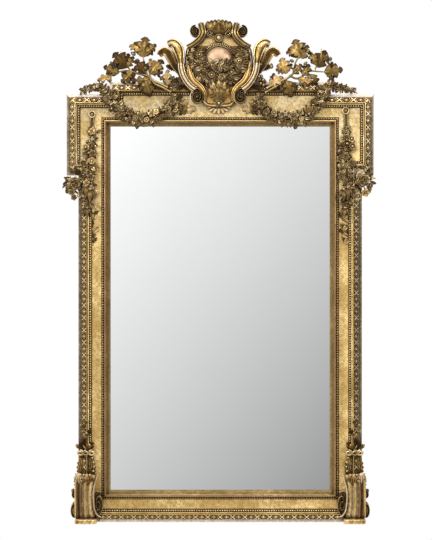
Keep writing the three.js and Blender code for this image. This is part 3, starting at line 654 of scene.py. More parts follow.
# Each run gives how far in from the outer line, how far off the wall, and the finish of the face up to it
outerRun = [(0, 20.5, "plain"), (1.2, 22.2, "strip"), (10.6, 23.6, "strip"), (11.4, 22.6, "deep"),
            (12.2, 26, "deep"), (12.6, 36, "dark"), (13.2, 40.5, "deep"), (14.2, 41.6, "aged"),
            (15, 41, "dark"), (31, 47, "dark"), (31.6, 49.2, "aged"), (32.8, 49.6, "pale"),
            (33.8, 48.4, "pale"), (34.6, 44.4, "amber"), (36.8, 41.6, "amber"), (39, 40.6, "pale"),
            (39.8, 38.4, "deep"), (40.6, 36.6, "dark"), (46.6, 35.4, "dark"), (47.2, 36.6, "aged"),
            (48, 36.2, "aged"), (48.6, 31, "deep"), (50, 30, "deep")]
innerRun = [(83, 30, "pale"), (83.8, 28.8, "deep"), (84.6, 31, "aged"), (85.6, 31.6, "deep"),
            (92.4, 32.4, "deep"), (93, 33.6, "bole"), (93.6, 38.8, "bole"), (94.6, 41, "bole"),
            (97.4, 42.4, "bole"), (100.4, 41.4, "bole"), (102, 38.6, "olive"), (102.6, 34.6, "olive"),
            (103.6, 30.6, "olive"), (105.6, 26.6, "olive"), (108.6, 23.2, "olive"), (111.6, 21.2, "olive"),
            (114, 20.4, "olive"), (115, 19.4, "aged"), (115, 16, "plain")]
rebateRun = [(105, 16, "plain"), (105, 0, "plain")]
lattice = {"pitch": 45, "halfBand": 7.8, "ribbon": 4.4, "chevron": 16.4, "lozenge": (11, 8.8), "inset": 23,
           "depth": 44.4, "slope": 20, "foot": -1.5}
beadRows = (
    {"shape": outline, "tone": "bright", "inset": 43.6, "depth": 37.2, "radius": 3.5, "pitch": 8.4},
    {"shape": mainBox, "tone": "amber", "inset": 89, "depth": 33.4, "radius": 3.1, "pitch": 8.8},
)


def bar(bm, start, end, wide, low, high, tone):  # a ribbon bar with a narrower top
    first, second = Vector(start), Vector(end)
    along = second - first
    made = bmesh.ops.create_cube(bm, size=1)["verts"]
    # soot and painted shade along the foot of the bar
    sootAndShadeBy(bm, made, lambda spot: 0.0 if spot.z > 0 else 0.8)
    for vert in made:
        long, broad, z = (0.96, 0.5, high) if vert.co.z > 0 else (1, 1, low)
        vert.co = Vector((vert.co.x * along.length * long, vert.co.y * wide * broad, z))
    tint(made, tone)
    turned(bm, made, (*((first + second) / 2), 0), math.degrees(math.atan2(along.y, along.x)))


def latticeMould(unit, tone):  # one lozenge between crossing ribbons, lying along x
    bm = newCarving()
    half, reach, wide, foot = unit["pitch"] / 2, unit["halfBand"], unit["ribbon"], unit["foot"]
    for side in (1, -1):
        for lean in (1, -1):
            high = 2.6 if lean > 0 else 2.2
            chevron = side * unit["chevron"]
            bar(bm, (side * (half - reach), lean * reach), (side * half, 0), wide, foot, high, tone)
            bar(bm, (chevron - side * reach, lean * reach), (chevron, 0), wide * 0.36, foot, 0.6, "aged")
    corners = bmesh.ops.create_circle(bm, cap_ends=True, segments=4, radius=1)["verts"]
    face = corners[0].link_faces[0]
    for vert in corners:
        vert.co = Vector((vert.co.x * unit["lozenge"][0], vert.co.y * unit["lozenge"][1], foot))
    face.normal_update()
    # painted shade: the darker top runs get darker raised parts too
    raised = "deep" if tone == "dark" else "aged"
    for inset, rise, rimTone in ((0, 2.6, "deep"), (0.6, 1.2, raised), (1.5, 0, raised),
                                 (0.5, -2.8, "deep"), (0.9, 0, "dark"), (0.5, 2.2, raised)):
        stepIn(bm, face, inset, rise, rimTone)
    face.material_index = coat[tone]
    closeHoles(bm)
    return kept(bm, "lattice")


def inward(way):
    return Vector((-way.y, way.x))


def cornersAt(shape, inset):
    corners = []
    for k, corner in enumerate(shape):
        before = (corner - shape[k - 1]).normalized()
        after = (shape[(k + 1) % len(shape)] - corner).normalized()
        corners.append(corner + inset * (inward(before) + inward(after)))
    return corners


def sidesAt(shape, inset, pitch):  # even steps along each side of an outline moved inwards
    corners = cornersAt(shape, inset)
    for k, start in enumerate(corners):
        end = corners[(k + 1) % len(corners)]
        count = max(1, round((end - start).length / pitch))
        heading = math.degrees(math.atan2(end.y - start.y, end.x - start.x))
        for step in range(count):
            yield start.lerp(end, (step + 0.5) / count), heading, (end - start).length / count / pitch


def runIn(bm, face, steps, startInset, startDepth):  # one moulding after another towards the middle
    for inset, depth, tone in steps:
        stepIn(bm, face, inset - startInset, depth - startDepth, tone)
        startInset, startDepth = inset, depth


def carveMouldings(bm):
    field = loopFace(bm, outline, 0)
    runIn(bm, field, outerRun, 0, 0)
    bmesh.ops.delete(bm, geom=[field], context="FACES_ONLY")
    (startInset, startDepth, _), *steps = innerRun
    sight = loopFace(bm, cornersAt(mainBox, startInset), frameSize["frieze"])
    runIn(bm, sight, steps, startInset, startDepth)
    for inset, depth, tone in rebateRun:  # the rebate turns back out behind the sight edge
        made = bmesh.ops.extrude_face_region(bm, geom=[sight])["geom"]
        bmesh.ops.delete(bm, geom=[sight], context="FACES_ONLY")
        sight = next(item for item in made if isinstance(item, bmesh.types.BMFace))
        goal = cornersAt(mainBox, inset)
        for vert in sight.verts:
            spot = min(goal, key=lambda corner: (corner - vert.co.xy).length)
            vert.co = (spot.x, spot.y, depth)
        coatFaces({face for vert in sight.verts for face in vert.link_faces} - {sight}, tone)
    bmesh.ops.delete(bm, geom=[sight], context="FACES_ONLY")


def fillFrame(bm):  # the frieze in front and the flat back
    rims = [edge for edge in bm.edges if edge.is_boundary]
    for tone, rim in (("pale", [edge for edge in rims if edge.verts[0].co.z > 1]),
                      ("plain", [edge for edge in rims if edge.verts[0].co.z < 1])):
        made = bmesh.ops.triangle_fill(bm, use_beauty=True, edges=rim)["geom"]
        coatFaces([item for item in made if isinstance(item, bmesh.types.BMFace)], tone)


def wearFrame(bm):
    edge, dull = frameSize["chalkEdge"], frameSize["dullFrom"]
    for face in bm.faces:
        middle = face.calc_center_median()
        tone = None
        if face.material_index == coat["strip"] and not edge <= middle.y <= frameSize["top"] - edge:
            tone = "chalk"  # the outer strip keeps its pale gesso along the bottom and the top
        if face.material_index == coat["bole"] and abs(middle.x) < 1:
            tone = "olive"  # red bole shows along the stiles only
        if face.material_index == coat["pale"] and middle.y > dull["y"] and middle.z > dull["z"]:
            tone = "aged"  # the top mouldings are dull
        if tone:
            face.material_index = coat[tone]


def carveFrame():
    bm = newCarving()
    carveMouldings(bm)
    fillFrame(bm)
    wearFrame(bm)
    units = {tone: latticeMould(lattice, tone) for tone in ("bright", "amber", "dark")}
    for place, heading, stretch in sidesAt(outline, lattice["inset"], lattice["pitch"]):
        # painted light: runs on the right are painted brighter than those on the left
        tone = "amber" if place.x < 0 else "bright"
        if abs(heading) > 170:
            tone = "dark"  # the runs along the top, painted darkest as painted shade
        stamp(bm, units[tone], (place.x, place.y, lattice["depth"]), (stretch, 1, 1), heading,
              roll=lattice["slope"])
    for row in beadRows:
        for place, _, _ in sidesAt(row["shape"], row["inset"], row["pitch"]):
            stamp(bm, mould["bead"], (place.x, place.y, row["depth"]), row["radius"], tone=row["tone"])
    hang(bm, "gilt_frame", "frame")


carveFrame()


# Oak sprays: stems, leaves as (x, y, z, heading, length, width) and acorn buds as (x, y, z, heading, size)

oakSprays = {
    "left": {
        "seed": 3,
        "stems": (((-188, 1556, 60), (-212, 1568, 61), (-240, 1583, 57), (-262, 1606, 48), (-270, 1640, 43),
                   (-277, 1676, 42)),
                  ((-258, 1598, 50), (-290, 1606, 45), (-330, 1618, 40), (-372, 1612, 38), (-396, 1596, 36)),
                  ((-318, 1616, 42), (-334, 1636, 40), (-352, 1658, 40), (-356, 1688, 38)),
                  ((-176, 1540, 62), (-206, 1556, 64), (-236, 1572, 60), (-250, 1600, 52), (-258, 1622, 46))),
        "leaves": ((-279, 1666, 44, 80, 84, 72), (-285, 1690, 46, 140, 50, 40),
                   (-266, 1684, 46, 34, 52, 34), (-330, 1630, 42, 134, 82, 66),
                   (-330, 1632, 46, 62, 46, 32), (-362, 1610, 40, 160, 68, 44),
                   (-388, 1598, 38, 190, 60, 34), (-250, 1604, 50, 56, 74, 58),
                   (-266, 1604, 48, 124, 70, 48), (-312, 1616, 42, 226, 64, 44),
                   (-268, 1586, 58, 288, 70, 54), (-190, 1562, 58, 92, 64, 34),
                   (-250, 1586, 54, 186, 68, 30), (-300, 1612, 44, 196, 50, 32)),
        "buds": ((-304, 1675, 42, 150, 17), (-262, 1622, 46, 140, 17), (-292, 1658, 42, 200, 13),
                 (-392, 1590, 36, 250, 14)),
    },
    "right": {
        "seed": 4,
        "stems": (((166, 1553, 60), (206, 1574, 61), (240, 1590, 57), (262, 1610, 48), (268, 1644, 44),
                   (284, 1672, 42)),
                  ((250, 1598, 52), (278, 1590, 45), (318, 1616, 40), (350, 1616, 38), (378, 1614, 36)),
                  ((338, 1618, 40), (346, 1640, 40), (360, 1662, 40), (362, 1700, 38)),
                  ((160, 1538, 62), (200, 1560, 64), (232, 1580, 58), (250, 1604, 50))),
        "leaves": ((286, 1662, 44, 108, 80, 70), (284, 1676, 46, 150, 50, 34), (292, 1660, 46, 70, 62, 40),
                   (347, 1630, 42, 66, 78, 60), (345, 1640, 44, 112, 56, 38), (372, 1614, 38, 6, 76, 54),
                   (237, 1606, 50, 112, 66, 54), (296, 1600, 46, 66, 56, 42), (174, 1562, 58, 36, 66, 48),
                   (235, 1582, 58, 290, 70, 54), (330, 1606, 42, 300, 46, 34), (278, 1586, 52, -6, 64, 30),
                   (262, 1606, 50, 46, 50, 36)),
        "buds": ((183, 1626, 48, 90, 17), (212, 1617, 48, 70, 15), (262, 1650, 44, 150, 14),
                 (300, 1640, 44, 40, 14)),
    },
}
oakWay = {"stemThick": (4.8, 3.8, 3.2, 3.6), "tones": ("aged", "amber", "aged", "dark", "aged"),
          "honeyBelow": 1576, "bigLeaf": 64, "sideTurns": (-62, 58), "sideTones": ("aged", "olive", "dark")}


def carveSpray(side, plan):
    rng = random.Random(plan["seed"])
    bm = newCarving()
    for thick, points in zip(oakWay["stemThick"], plan["stems"]):
        sweep(bm, evenRoute(points, 7), roundSection, swelling(thick, thick, 1, 0.5, 0.1), "dark")
    for k, (x, y, z, heading, length, width) in enumerate(plan["leaves"]):
        form = mould["oakLeafCurled" if k % 3 == 1 else "oakLeaf"]
        tone = "honey" if y < oakWay["honeyBelow"] else oakWay["tones"][k % 5]
        stamp(bm, form, (x, y, z), (length * 0.9, width * 1.06, 60), heading, rng.uniform(-2, 12),
              rng.uniform(-20, 20), tone)
        if length < oakWay["bigLeaf"]:
            continue
        for turn in oakWay["sideTurns"]:  # a big leaf has a smaller one on each side
            part = rng.uniform(0.1, 0.4) * length
            way = math.radians(heading)
            spot = (x + part * math.cos(way), y + part * math.sin(way), z - 3)
            stamp(bm, mould["oakLeafCurled"], spot, (length * 0.55, width * 0.6, 40), heading + turn,
                  rng.uniform(-6, 6), rng.uniform(-20, 20), rng.choice(oakWay["sideTones"]))
    for x, y, z, heading, size in plan["buds"]:
        stamp(bm, mould["bud"], (x, y, z), size, heading, tone="dark")
    hang(bm, "oak_spray_" + side, "oak_branch_" + side)


for side, plan in oakSprays.items():
    carveSpray(side, plan)


# Rose swags: a route for the twisted core, the large flowers listed one by one, and small growth filled in
# along it

dullTones = ("dark", "deep", "deep", "bright", "dark", "deep")


def growth(bm, rng, points, size, step, leaf, flowers, tones=dullTones):  # leaves, flowers and berries
    line = evenRoute(points, step)
    for k, spot in enumerate(line):
        ahead = line[min(k + 1, len(line) - 1)] - line[max(k - 1, 0)]
        heading = math.degrees(math.atan2(ahead.y, ahead.x))
        across = Vector((-ahead.y, ahead.x, 0)).normalized()
        half, deep = size(k / (len(line) - 1))
        for side in (1, -1):
            long = leaf * rng.uniform(0.7, 1.15) * (0.5 + 0.5 * half / size(0.5)[0])
            place = spot + across * side * half * rng.uniform(0.1, 0.5) + Vector((0, 0, deep * 0.2))
            stamp(bm, mould["slimLeaf"], place, (long, long * rng.uniform(0.4, 0.62), long * 0.8),
                  heading + side * rng.uniform(25, 100), rng.uniform(-14, 22), rng.uniform(-25, 25),
                  rng.choice(tones))
        for _ in range(3):
            place = spot + across * rng.uniform(-0.75, 0.75) * half
            place += Vector((0, 0, deep * rng.uniform(0.3, 1) * 0.6))
            if rng.random() < flowers and half > 9:
                stamp(bm, mould[rng.choice(("blossom", "daisy", "daisy"))], place, rng.uniform(4.5, 8),
                      rng.uniform(0, 360), rng.uniform(-30, 30), rng.uniform(-30, 30),
                      rng.choice(tones + ("bright",)))
            else:
                stamp(bm, mould["berry"], place, rng.uniform(1.8, 3.4), tone=rng.choice(tones))


# Flowers as (mould, x, y, z, size, finish), drips as (x, y, z, size), tulips as (x, y, z, heading, size)
roseSwags = {
    "left": {
        "seed": 11,
        "route": ((-164, 1530, 60), (-178, 1502, 52), (-198, 1474, 47), (-234, 1454, 46), (-274, 1446, 47),
                  (-322, 1454, 46), (-364, 1482, 50), (-394, 1514, 58), (-412, 1546, 56), (-446, 1560, 36),
                  (-500, 1547, 24)),
        "flowers": (("rose", -285, 1461, 52, 17, "aged"), ("rose", -322, 1476, 52, 15, "dark"),
                    ("smallRose", -245, 1470, 54, 14, "amber"), ("blossom", -262, 1448, 54, 12, "aged"),
                    ("blossom", -228, 1476, 54, 12, "amber"), ("smallRose", -202, 1490, 54, 13, "aged"),
                    ("rose", -172, 1512, 56, 15, "dark"), ("blossom", -303, 1454, 52, 12, "aged"),
                    ("blossom", -352, 1488, 52, 13, "aged"), ("smallRose", -378, 1506, 54, 13, "dark"),
                    ("blossom", -396, 1528, 58, 12, "aged"), ("daisy", -184, 1488, 50, 11, "amber"),
                    ("smallRose", -412, 1552, 54, 10, "aged"), ("blossom", -160, 1484, 46, 12, "aged"),
                    ("smallRose", -183, 1472, 46, 11, "aged")),
        "drips": ((-300, 1421, 40, 12), (-241, 1425, 40, 8), (-272, 1430, 40, 7)),
        "nosegay": ((-152, 1500, 44), (-160, 1476, 42), (-186, 1474, 44)),
        "tulips": (),
    },
    "right": {
        "seed": 12,
        "route": ((138, 1536, 60), (146, 1504, 52), (164, 1472, 46), (202, 1453, 46), (258, 1446, 47),
                  (312, 1461, 46), (346, 1498, 52), (366, 1540, 58), (385, 1560, 54), (420, 1558, 36),
                  (485, 1547, 24)),
        "flowers": (("rose", 262, 1462, 54, 20, "aged"), ("rose", 148, 1502, 56, 17, "dark"),
                    ("smallRose", 222, 1466, 52, 14, "aged"), ("blossom", 192, 1474, 52, 13, "aged"),
                    ("smallRose", 164, 1478, 52, 14, "dark"), ("blossom", 290, 1452, 50, 11, "amber"),
                    ("blossom", 240, 1440, 46, 10, "aged"), ("smallRose", 336, 1484, 50, 12, "dark"),
                    ("blossom", 352, 1512, 54, 12, "aged"), ("smallRose", 366, 1538, 58, 12, "aged"),
                    ("daisy", 210, 1486, 50, 10, "amber"), ("blossom", 128, 1528, 56, 11, "aged"),
                    ("smallRose", 384, 1558, 54, 10, "dark")),
        "drips": ((271, 1421, 40, 13), (239, 1428, 40, 8)),
        "nosegay": ((128, 1502, 44), (140, 1478, 42), (170, 1464, 44)),
        "tulips": ((306, 1458, 50, 70, 34), (318, 1462, 52, 98, 38), (328, 1466, 50, 48, 30)),
    },
}


def carveSwag(side, plan):
    rng = random.Random(plan["seed"])
    bm = newCarving()
    rope = swelling(27, 14, 0.3, 0.2, 0.46)
    low = [(x, y, z - 8) for x, y, z in plan["route"]]
    sweep(bm, evenRoute(low, 9), roundSection, lambda t: (rope(t)[0] * 0.5, rope(t)[1] * 0.4), "dark")
    growth(bm, rng, plan["route"], rope, 4.6, 21, 0.5)
    growth(bm, rng, plan["nosegay"], swelling(11, 8, 0.8, 0.5), 8, 17, 0.4)
    for name, x, y, z, size, tone in plan["flowers"]:
        stamp(bm, mould[name], (x, y - 6, z + 2), size * 0.9, rng.uniform(0, 360), rng.uniform(-14, 14),
              rng.uniform(-14, 14), tone)
    for x, y, z, size in plan["drips"]:  # buds hanging from thin stalks
        stamp(bm, mould["bud"], (x, y + size, z), size * 1.5, -92, tone="dark")
        stalk = evenRoute(((x, y + 34, z + 2), (x, y + 8, z)), 9)
        sweep(bm, stalk, roundSection, swelling(1.6, 1.6, 1, 1), "dark")
    for x, y, z, heading, size in plan["tulips"]:
        stamp(bm, mould["husk"], (x, y, z), (size, size * 1.1, size * 0.7), heading, tone="aged")
    hang(bm, "rose_swag_" + side, "flower_swag_" + side)


for side, plan in roseSwags.items():
    carveSwag(side, plan)


# Side drops: ring rosette, strap, and a string of forms as (mould, x, y, z, size, heading, finish)

sideDrops = {
    "left": {
        "seed": 21,
        "rosette": (-459, 1463), "strapEnd": 1408,
        "spine": ((-460, 1412, 38), (-459, 1350, 38), (-470, 1296, 42), (-470, 1244, 46), (-470, 1190, 46),
                  (-474, 1112, 46)),
        "rose": (-520, 1214, 52, 25),
        "flowers": (("smallRose", -459, 1400, 44, 12, 0, "amber"),
                    ("oakLeaf", -444, 1398, 38, 20, 26, "aged"),
                    ("blossom", -481, 1345, 42, 15, 0, "amber"), ("berry", -446, 1349, 44, 4, 0, "bright"),
                    ("rose", -457, 1322, 46, 14, 0, "dark"),
                    ("slimLeaf", -476, 1330, 42, 22, 200, "bright"),
                    ("blossom", -466, 1366, 42, 11, 20, "aged"), ("rose", -487, 1286, 48, 17, 0, "dark"),
                    ("blossom", -459, 1296, 46, 15, 0, "amber"),
                    ("acanthus", -452, 1290, 44, 34, -60, "bright"),
                    ("acanthus", -470, 1262, 48, 36, 170, "bright"),
                    ("rose", -462, 1237, 50, 16, 0, "dark"), ("smallRose", -477, 1216, 52, 12, 0, "amber"),
                    ("blossom", -483, 1203, 52, 11, 0, "aged"),
                    ("acanthus", -500, 1190, 50, 30, 300, "cream"),
                    ("husk", -480, 1208, 50, 42, 270, "dark"), ("husk", -464, 1196, 48, 48, 268, "dark"),
                    ("rose", -474, 1138, 48, 15, 0, "dark"), ("husk", -474, 1130, 46, 36, 270, "dark"),
                    ("acanthus", -456, 1162, 35, 36, 62, "pale"),
                    ("acanthus", -452, 1142, 35, 34, -48, "pale"),
                    ("blossom", -545, 1230, 44, 12, 0, "dark"), ("blossom", -543, 1200, 46, 12, 0, "aged"),
                    ("smallRose", -531, 1184, 48, 13, 0, "aged"),
                    ("smallRose", -523, 1165, 44, 11, 0, "dark"),
                    ("blossom", -506, 1170, 46, 10, 0, "cream"),
                    ("acanthus", -500, 1246, 50, 30, 150, "dark"),
                    ("slimLeaf", -490, 1232, 52, 30, 210, "aged")),
        "vine": ((-466, 1108, 34), (-452, 1090, 33), (-474, 1070, 33), (-456, 1046, 33), (-468, 1020, 33),
                 (-456, 996, 33)),
    },
    "right": {
        "seed": 22,
        "rosette": (450, 1476), "strapEnd": 1412,
        "spine": ((451, 1416, 38), (453, 1356, 38), (452, 1304, 42), (454, 1250, 46), (456, 1196, 46),
                  (446, 1130, 44)),
        "rose": (508, 1226, 52, 26),
        "flowers": (("blossom", 452, 1404, 42, 9, 0, "aged"), ("smallRose", 452, 1380, 44, 13, 0, "dark"),
                    ("blossom", 470, 1374, 42, 14, 0, "aged"), ("berry", 454, 1358, 46, 4, 0, "bright"),
                    ("blossom", 474, 1348, 42, 14, 0, "dark"), ("oakLeaf", 442, 1352, 40, 30, 160, "aged"),
                    ("slimLeaf", 446, 1334, 42, 30, 200, "cream"), ("rose", 450, 1311, 46, 14, 0, "dark"),
                    ("smallRose", 429, 1301, 42, 13, 0, "dark"), ("rose", 471, 1286, 48, 16, 0, "dark"),
                    ("blossom", 448, 1278, 46, 13, 0, "aged"),
                    ("acanthus", 448, 1266, 46, 34, 150, "cream"), ("rose", 433, 1244, 46, 15, 0, "dark"),
                    ("acanthus", 470, 1256, 50, 36, 10, "cream"),
                    ("acanthus", 496, 1252, 48, 34, 30, "bright"),
                    ("smallRose", 468, 1206, 52, 14, 0, "dark"),
                    ("acanthus", 476, 1196, 50, 30, -40, "cream"),
                    ("oakLeaf", 496, 1184, 48, 36, -100, "pale"),
                    ("smallRose", 519, 1182, 48, 15, 0, "amber"), ("husk", 456, 1202, 48, 46, 268, "dark"),
                    ("husk", 440, 1194, 46, 44, 268, "dark"), ("rose", 464, 1152, 46, 13, 0, "aged"),
                    ("rose", 444, 1140, 46, 14, 0, "dark"), ("husk", 446, 1128, 44, 36, 270, "dark"),
                    ("acanthus", 460, 1142, 35, 34, -60, "pale"),
                    ("blossom", 538, 1236, 42, 12, 0, "dark"), ("blossom", 537, 1208, 46, 12, 0, "aged"),
                    ("smallRose", 530, 1192, 46, 12, 0, "dark"),
                    ("slimLeaf", 488, 1244, 52, 34, 30, "cream"),
                    ("blossom", 494, 1170, 46, 10, 0, "dark")),
        "vine": ((452, 1110, 34), (436, 1092, 33), (462, 1070, 33), (442, 1046, 33), (460, 1022, 33),
                 (446, 998, 33)),
    },
}
earBunch = {"angles": (60, 20, -20, -60, -100, -140), "z": 42}  # small growth outside the rose on the ear
vineWay = {"forms": ("slimLeaf", "oakLeaf", "acanthus"), "tones": ("amber", "dark", "aged"),
           "turns": (135, 45)}


def carveRosette(bm, x, y):
    sweep(bm, ring((x, y), 11, 36, 26), roundSection, swelling(2.6, 3.4, 1, 1), "honey")
    ball(bm, (x, y, 32), (8.4, 8.4, 6), (20, 10), "honey")
    curl = scroll((x, y), 6.6, 200, -460, 35, 20, shrink=1 - 1.5 / 6.6, ease=0.8, lift=3)
    sweep(bm, curl, roundSection, swelling(1.1, 2.4, 1, 0.5, 0.2), "aged")
    drum(bm, (x, y, 28), 12.5, 12, 10, 24, "honey")


def carveDrop(side, plan):
    rng = random.Random(plan["seed"])
    bm = newCarving()
    x, y = plan["rosette"]
    carveRosette(bm, x, y)
    strap = evenRoute(((x, y - 12, 33), (plan["spine"][0][0], plan["strapEnd"] - 6, 33)), 9)
    sweep(bm, strap, strapSection, swelling(7.5, 4, 1, 1), "aged")
    rope = swelling(21, 9, 0.5, 0.45, 0.5)
    low = [(x, y, z - 5) for x, y, z in plan["spine"]]
    sweep(bm, evenRoute(low, 9), roundSection, lambda t: (rope(t)[0] * 0.4, rope(t)[1] * 0.7), "dark")
    growth(bm, rng, plan["spine"], rope, 7, 21, 0.35)
    x, y, z, size = plan["rose"]
    stamp(bm, mould["rose"], (x, y, z), size, 20, tone="dark")
    out = 1 if x > 0 else -1
    bunch = [(x + size * 1.05 * math.cos(a) * out, y + size * math.sin(a), earBunch["z"])
             for a in map(math.radians, earBunch["angles"])]
    growth(bm, rng, bunch, swelling(8, 6, 0.8, 0.8), 10, 20, 0.5)
    for name, x, y, z, size, heading, tone in plan["flowers"]:  # no heading means that it lies anyhow
        scale = (size, size * 0.62, size * 0.6) if name in ("oakLeaf", "acanthus", "slimLeaf") else size
        stamp(bm, mould[name], (x, y, z), scale, heading or rng.uniform(0, 360), rng.uniform(-8, 12),
              rng.uniform(-10, 10), tone)
    vine = evenRoute(plan["vine"], 5)
    sweep(bm, vine, roundSection, swelling(2, 2.6, 1, 0.6), "dark")
    for k, spot in enumerate(vine[::2]):
        long = rng.uniform(24, 31)
        stamp(bm, mould[vineWay["forms"][k % 3]], spot, (long, long * 0.6, 14),
              vineWay["turns"][k % 2] + rng.uniform(-25, 25), -2, 0, vineWay["tones"][k % 3])
    hang(bm, "rose_drop_" + side, "flower_drop_" + side)


for side, plan in sideDrops.items():
    carveDrop(side, plan)


# Crest: a scrolled shield with a domed boss, capped by a lobed finial and footed by a shell.
# Lines and leaves of the sides are given for the right and mirrored about the middle.

crest = {
    "middle": -5, "back": 6,
    "side": ((20, 1486), (44, 1490), (66, 1510), (98, 1532), (112, 1572), (124, 1620), (120, 1676),
             (112, 1702), (80, 1730), (58, 1752), (48, 1764)),
    "steps": ((0, 34, "aged"), (2, 8, "aged"), (3, 4, "aged"), (4, 1.5, "pale"), (3, -2.5, "dark"),
              (2.4, 2, "honey")),
    "grounds": {"honeyFrom": 1706, "amberTo": 1560},
    "boss": {"y": 1653, "z": 58, "radius": 49, "rise": 22, "beads": 25, "beadTurn": 6.4, "beadOut": 9},
    "ribs": ((64, 1784, 46), (60, 1768, 58), (57, 1750, 62), (66, 1732, 60), (88, 1712, 58),
             (112, 1700, 54)),
    "hornInner": ((179, 1712, 46), (164, 1715, 52), (149, 1702, 56), (140, 1678, 58), (136, 1650, 60),
                  (132, 1616, 62), (120, 1586, 62), (102, 1562, 62), (84, 1549, 62)),
    "hornOuter": ((213, 1674, 36), (200, 1687, 42), (184, 1683, 46), (171, 1662, 46), (158, 1638, 44),
                  (140, 1614, 42), (122, 1596, 42)),
    "flank": ((110, 1650, 58), (104, 1612, 60), (92, 1580, 62), (66, 1556, 62), (52, 1532, 60),
              (52, 1508, 56)),
    "roll": {"spot": (85, 1757), "size": 14.5, "tall": 1.25,
             "wind": {"start": 100, "turn": -572, "z": 52, "steps": 22, "shrink": 0.62, "lift": 8},
             "swell": (5.5, 13, 1, 0.6, 0.1), "rim": {"out": 2, "z": 60, "arc": (100, 230)},
             "drum": {"in": 1, "z": 34, "deep": 40, "sides": 20},
             "eye": {"radius": 6, "z": 56, "cuts": (12, 8), "tone": "bright"}},
    "volute": {"spot": (78, 1522), "size": 22.5, "tall": 1.15,
               "wind": {"start": 80, "turn": 480, "z": 58, "steps": 32, "shrink": 0.74, "ease": 0.8,
                        "lift": 10},
               "swell": (6, 13, 1, 0.45, 0.05), "rim": {"out": 1, "z": 66, "arc": (120, 270)},
               "drum": {"in": 3, "z": 45, "deep": 26, "sides": 28},
               "eye": {"radius": 7, "z": 66, "cuts": (14, 8), "tone": "dark"}},
    "oakLeaves": ((84, 1490, 58, "honey"), (108, 1508, 74, "amber"), (114, 1492, 40, "aged")),
    "sideLeaves": ((142, 1668, 40, 70, 44, 22, "dark"), (150, 1622, 42, 20, 44, 24, "dark"),
                   (132, 1590, 44, -20, 44, 26, "aged"), (150, 1646, 40, 40, 36, 20, "aged"),
                   (118, 1560, 46, -10, 40, 24, "dark"), (128, 1532, 44, -40, 36, 20, "aged")),
    "cap": {"foot": 1746, "tall": 53, "half": 49, "lobes": 7,
            "leaves": ((90, 40), (58, 36), (122, 36), (34, 30), (146, 30))},
    "medal": {"y": 1733, "size": (9.5, 10.5, 5), "ring": 12.5},
    "fan": ((90, 86, "bright"), (74, 82, "bright"), (106, 82, "bright"), (56, 66, "amber"),
            (124, 66, "amber"), (83, 60, "bright"), (97, 60, "bright")),
    "shell": {"y": 1496, "hub": 6, "reach": 34, "lobes": 7, "spread": 82, "wide": 1.32, "tall": 0.92},
    "heart": (1500, 60),
    "berry": (148, 1640, 50, 6),
    "berries": ((152, 1598), (147, 1586), (158, 1584), (150, 1572), (160, 1566)),
}


def hornSize(t):  # a broad leaf above, a narrow scroll below
    broad = 0.42
    wide = 0.62 + 0.38 * math.sin(math.pi * min(1, t / broad))
    return 20 * wide * (1 if t < broad else 0.9), 14


def crestSide(bm, flip):  # everything that comes twice, built on one side of the middle
    mid = crest["middle"]

    def flipped(points):
        return [Vector((mid + flip * x, y, z)) for x, y, z in points]

    def band(name, section, size, tone):
        sweep(bm, evenRoute(flipped(crest[name]), 5), section, size, tone)

    def volute(plan):  # a wound band on a drum, with an eye and a bright painted highlight on the side of the light
        (x, y), size, tall = plan["spot"], plan["size"], plan["tall"]
        wound = scroll((x, y), size, tall=tall, **plan["wind"])
        sweep(bm, flipped(wound), hollowSection, swelling(*plan["swell"]), "dark")
        edge, core, eye = plan["rim"], plan["drum"], plan["eye"]
        first, last = edge["arc"]
        # painted highlight: a cream line along the band's outer edge on the side of the light
        rim = scroll((mid + flip * x, y), size + edge["out"], first, last - first, edge["z"], 14, tall)
        sweep(bm, rim, roundSection, swelling(2.4, 4, 0.2, 0.2), "cream")
        drum(bm, (mid + flip * x, y, core["z"]), size - core["in"], size - core["in"] - 1, core["deep"],
             core["sides"], "dark", tall)
        ball(bm, (mid + flip * x, y, eye["z"]), (eye["radius"],) * 3, eye["cuts"], eye["tone"])

    band("ribs", scrollSection, swelling(12, 12, 0.9, 0.8, 0.2), "aged")
    volute(crest["roll"])
    band("hornOuter", hollowSection, swelling(17, 13, 0.62, 0.4, 0.3),
         lambda spot: "amber" if spot.y > 1640 else "aged")
    band("hornInner", scrollSection, hornSize,
         lambda spot: "honey" if spot.y > 1700 else ("aged" if spot.y > 1640 else "cream"))
    volute(crest["volute"])
    band("flank", scrollSection, swelling(12, 9, 0.3, 0.5, 0.55), "amber")
    for x, y, turn, tone in crest["oakLeaves"]:
        stamp(bm, mould["oakLeaf"], (mid + flip * x, y, 33), (42, 30, 26), -90 + flip * turn, 2, 0, tone)
    stamp(bm, mould["acanthus"], (mid + flip * 120, 1630, 52), (62, 34, 30), -90 + flip * 18, 4, 0, "aged")
    curl = scroll((31, 1748), 12, 90, -400, 60, 20, shrink=0.75, ease=0.8, lift=4)
    sweep(bm, flipped(curl), hollowSection, swelling(3.6, 6, 1, 0.6, 0.1), "bright")
    for x, y, z, heading, length, width, tone in crest["sideLeaves"]:
        stamp(bm, mould["acanthus"], (mid + flip * x, y, z), (length, width, 26),
              heading if flip > 0 else 180 - heading, 4, 0, tone)


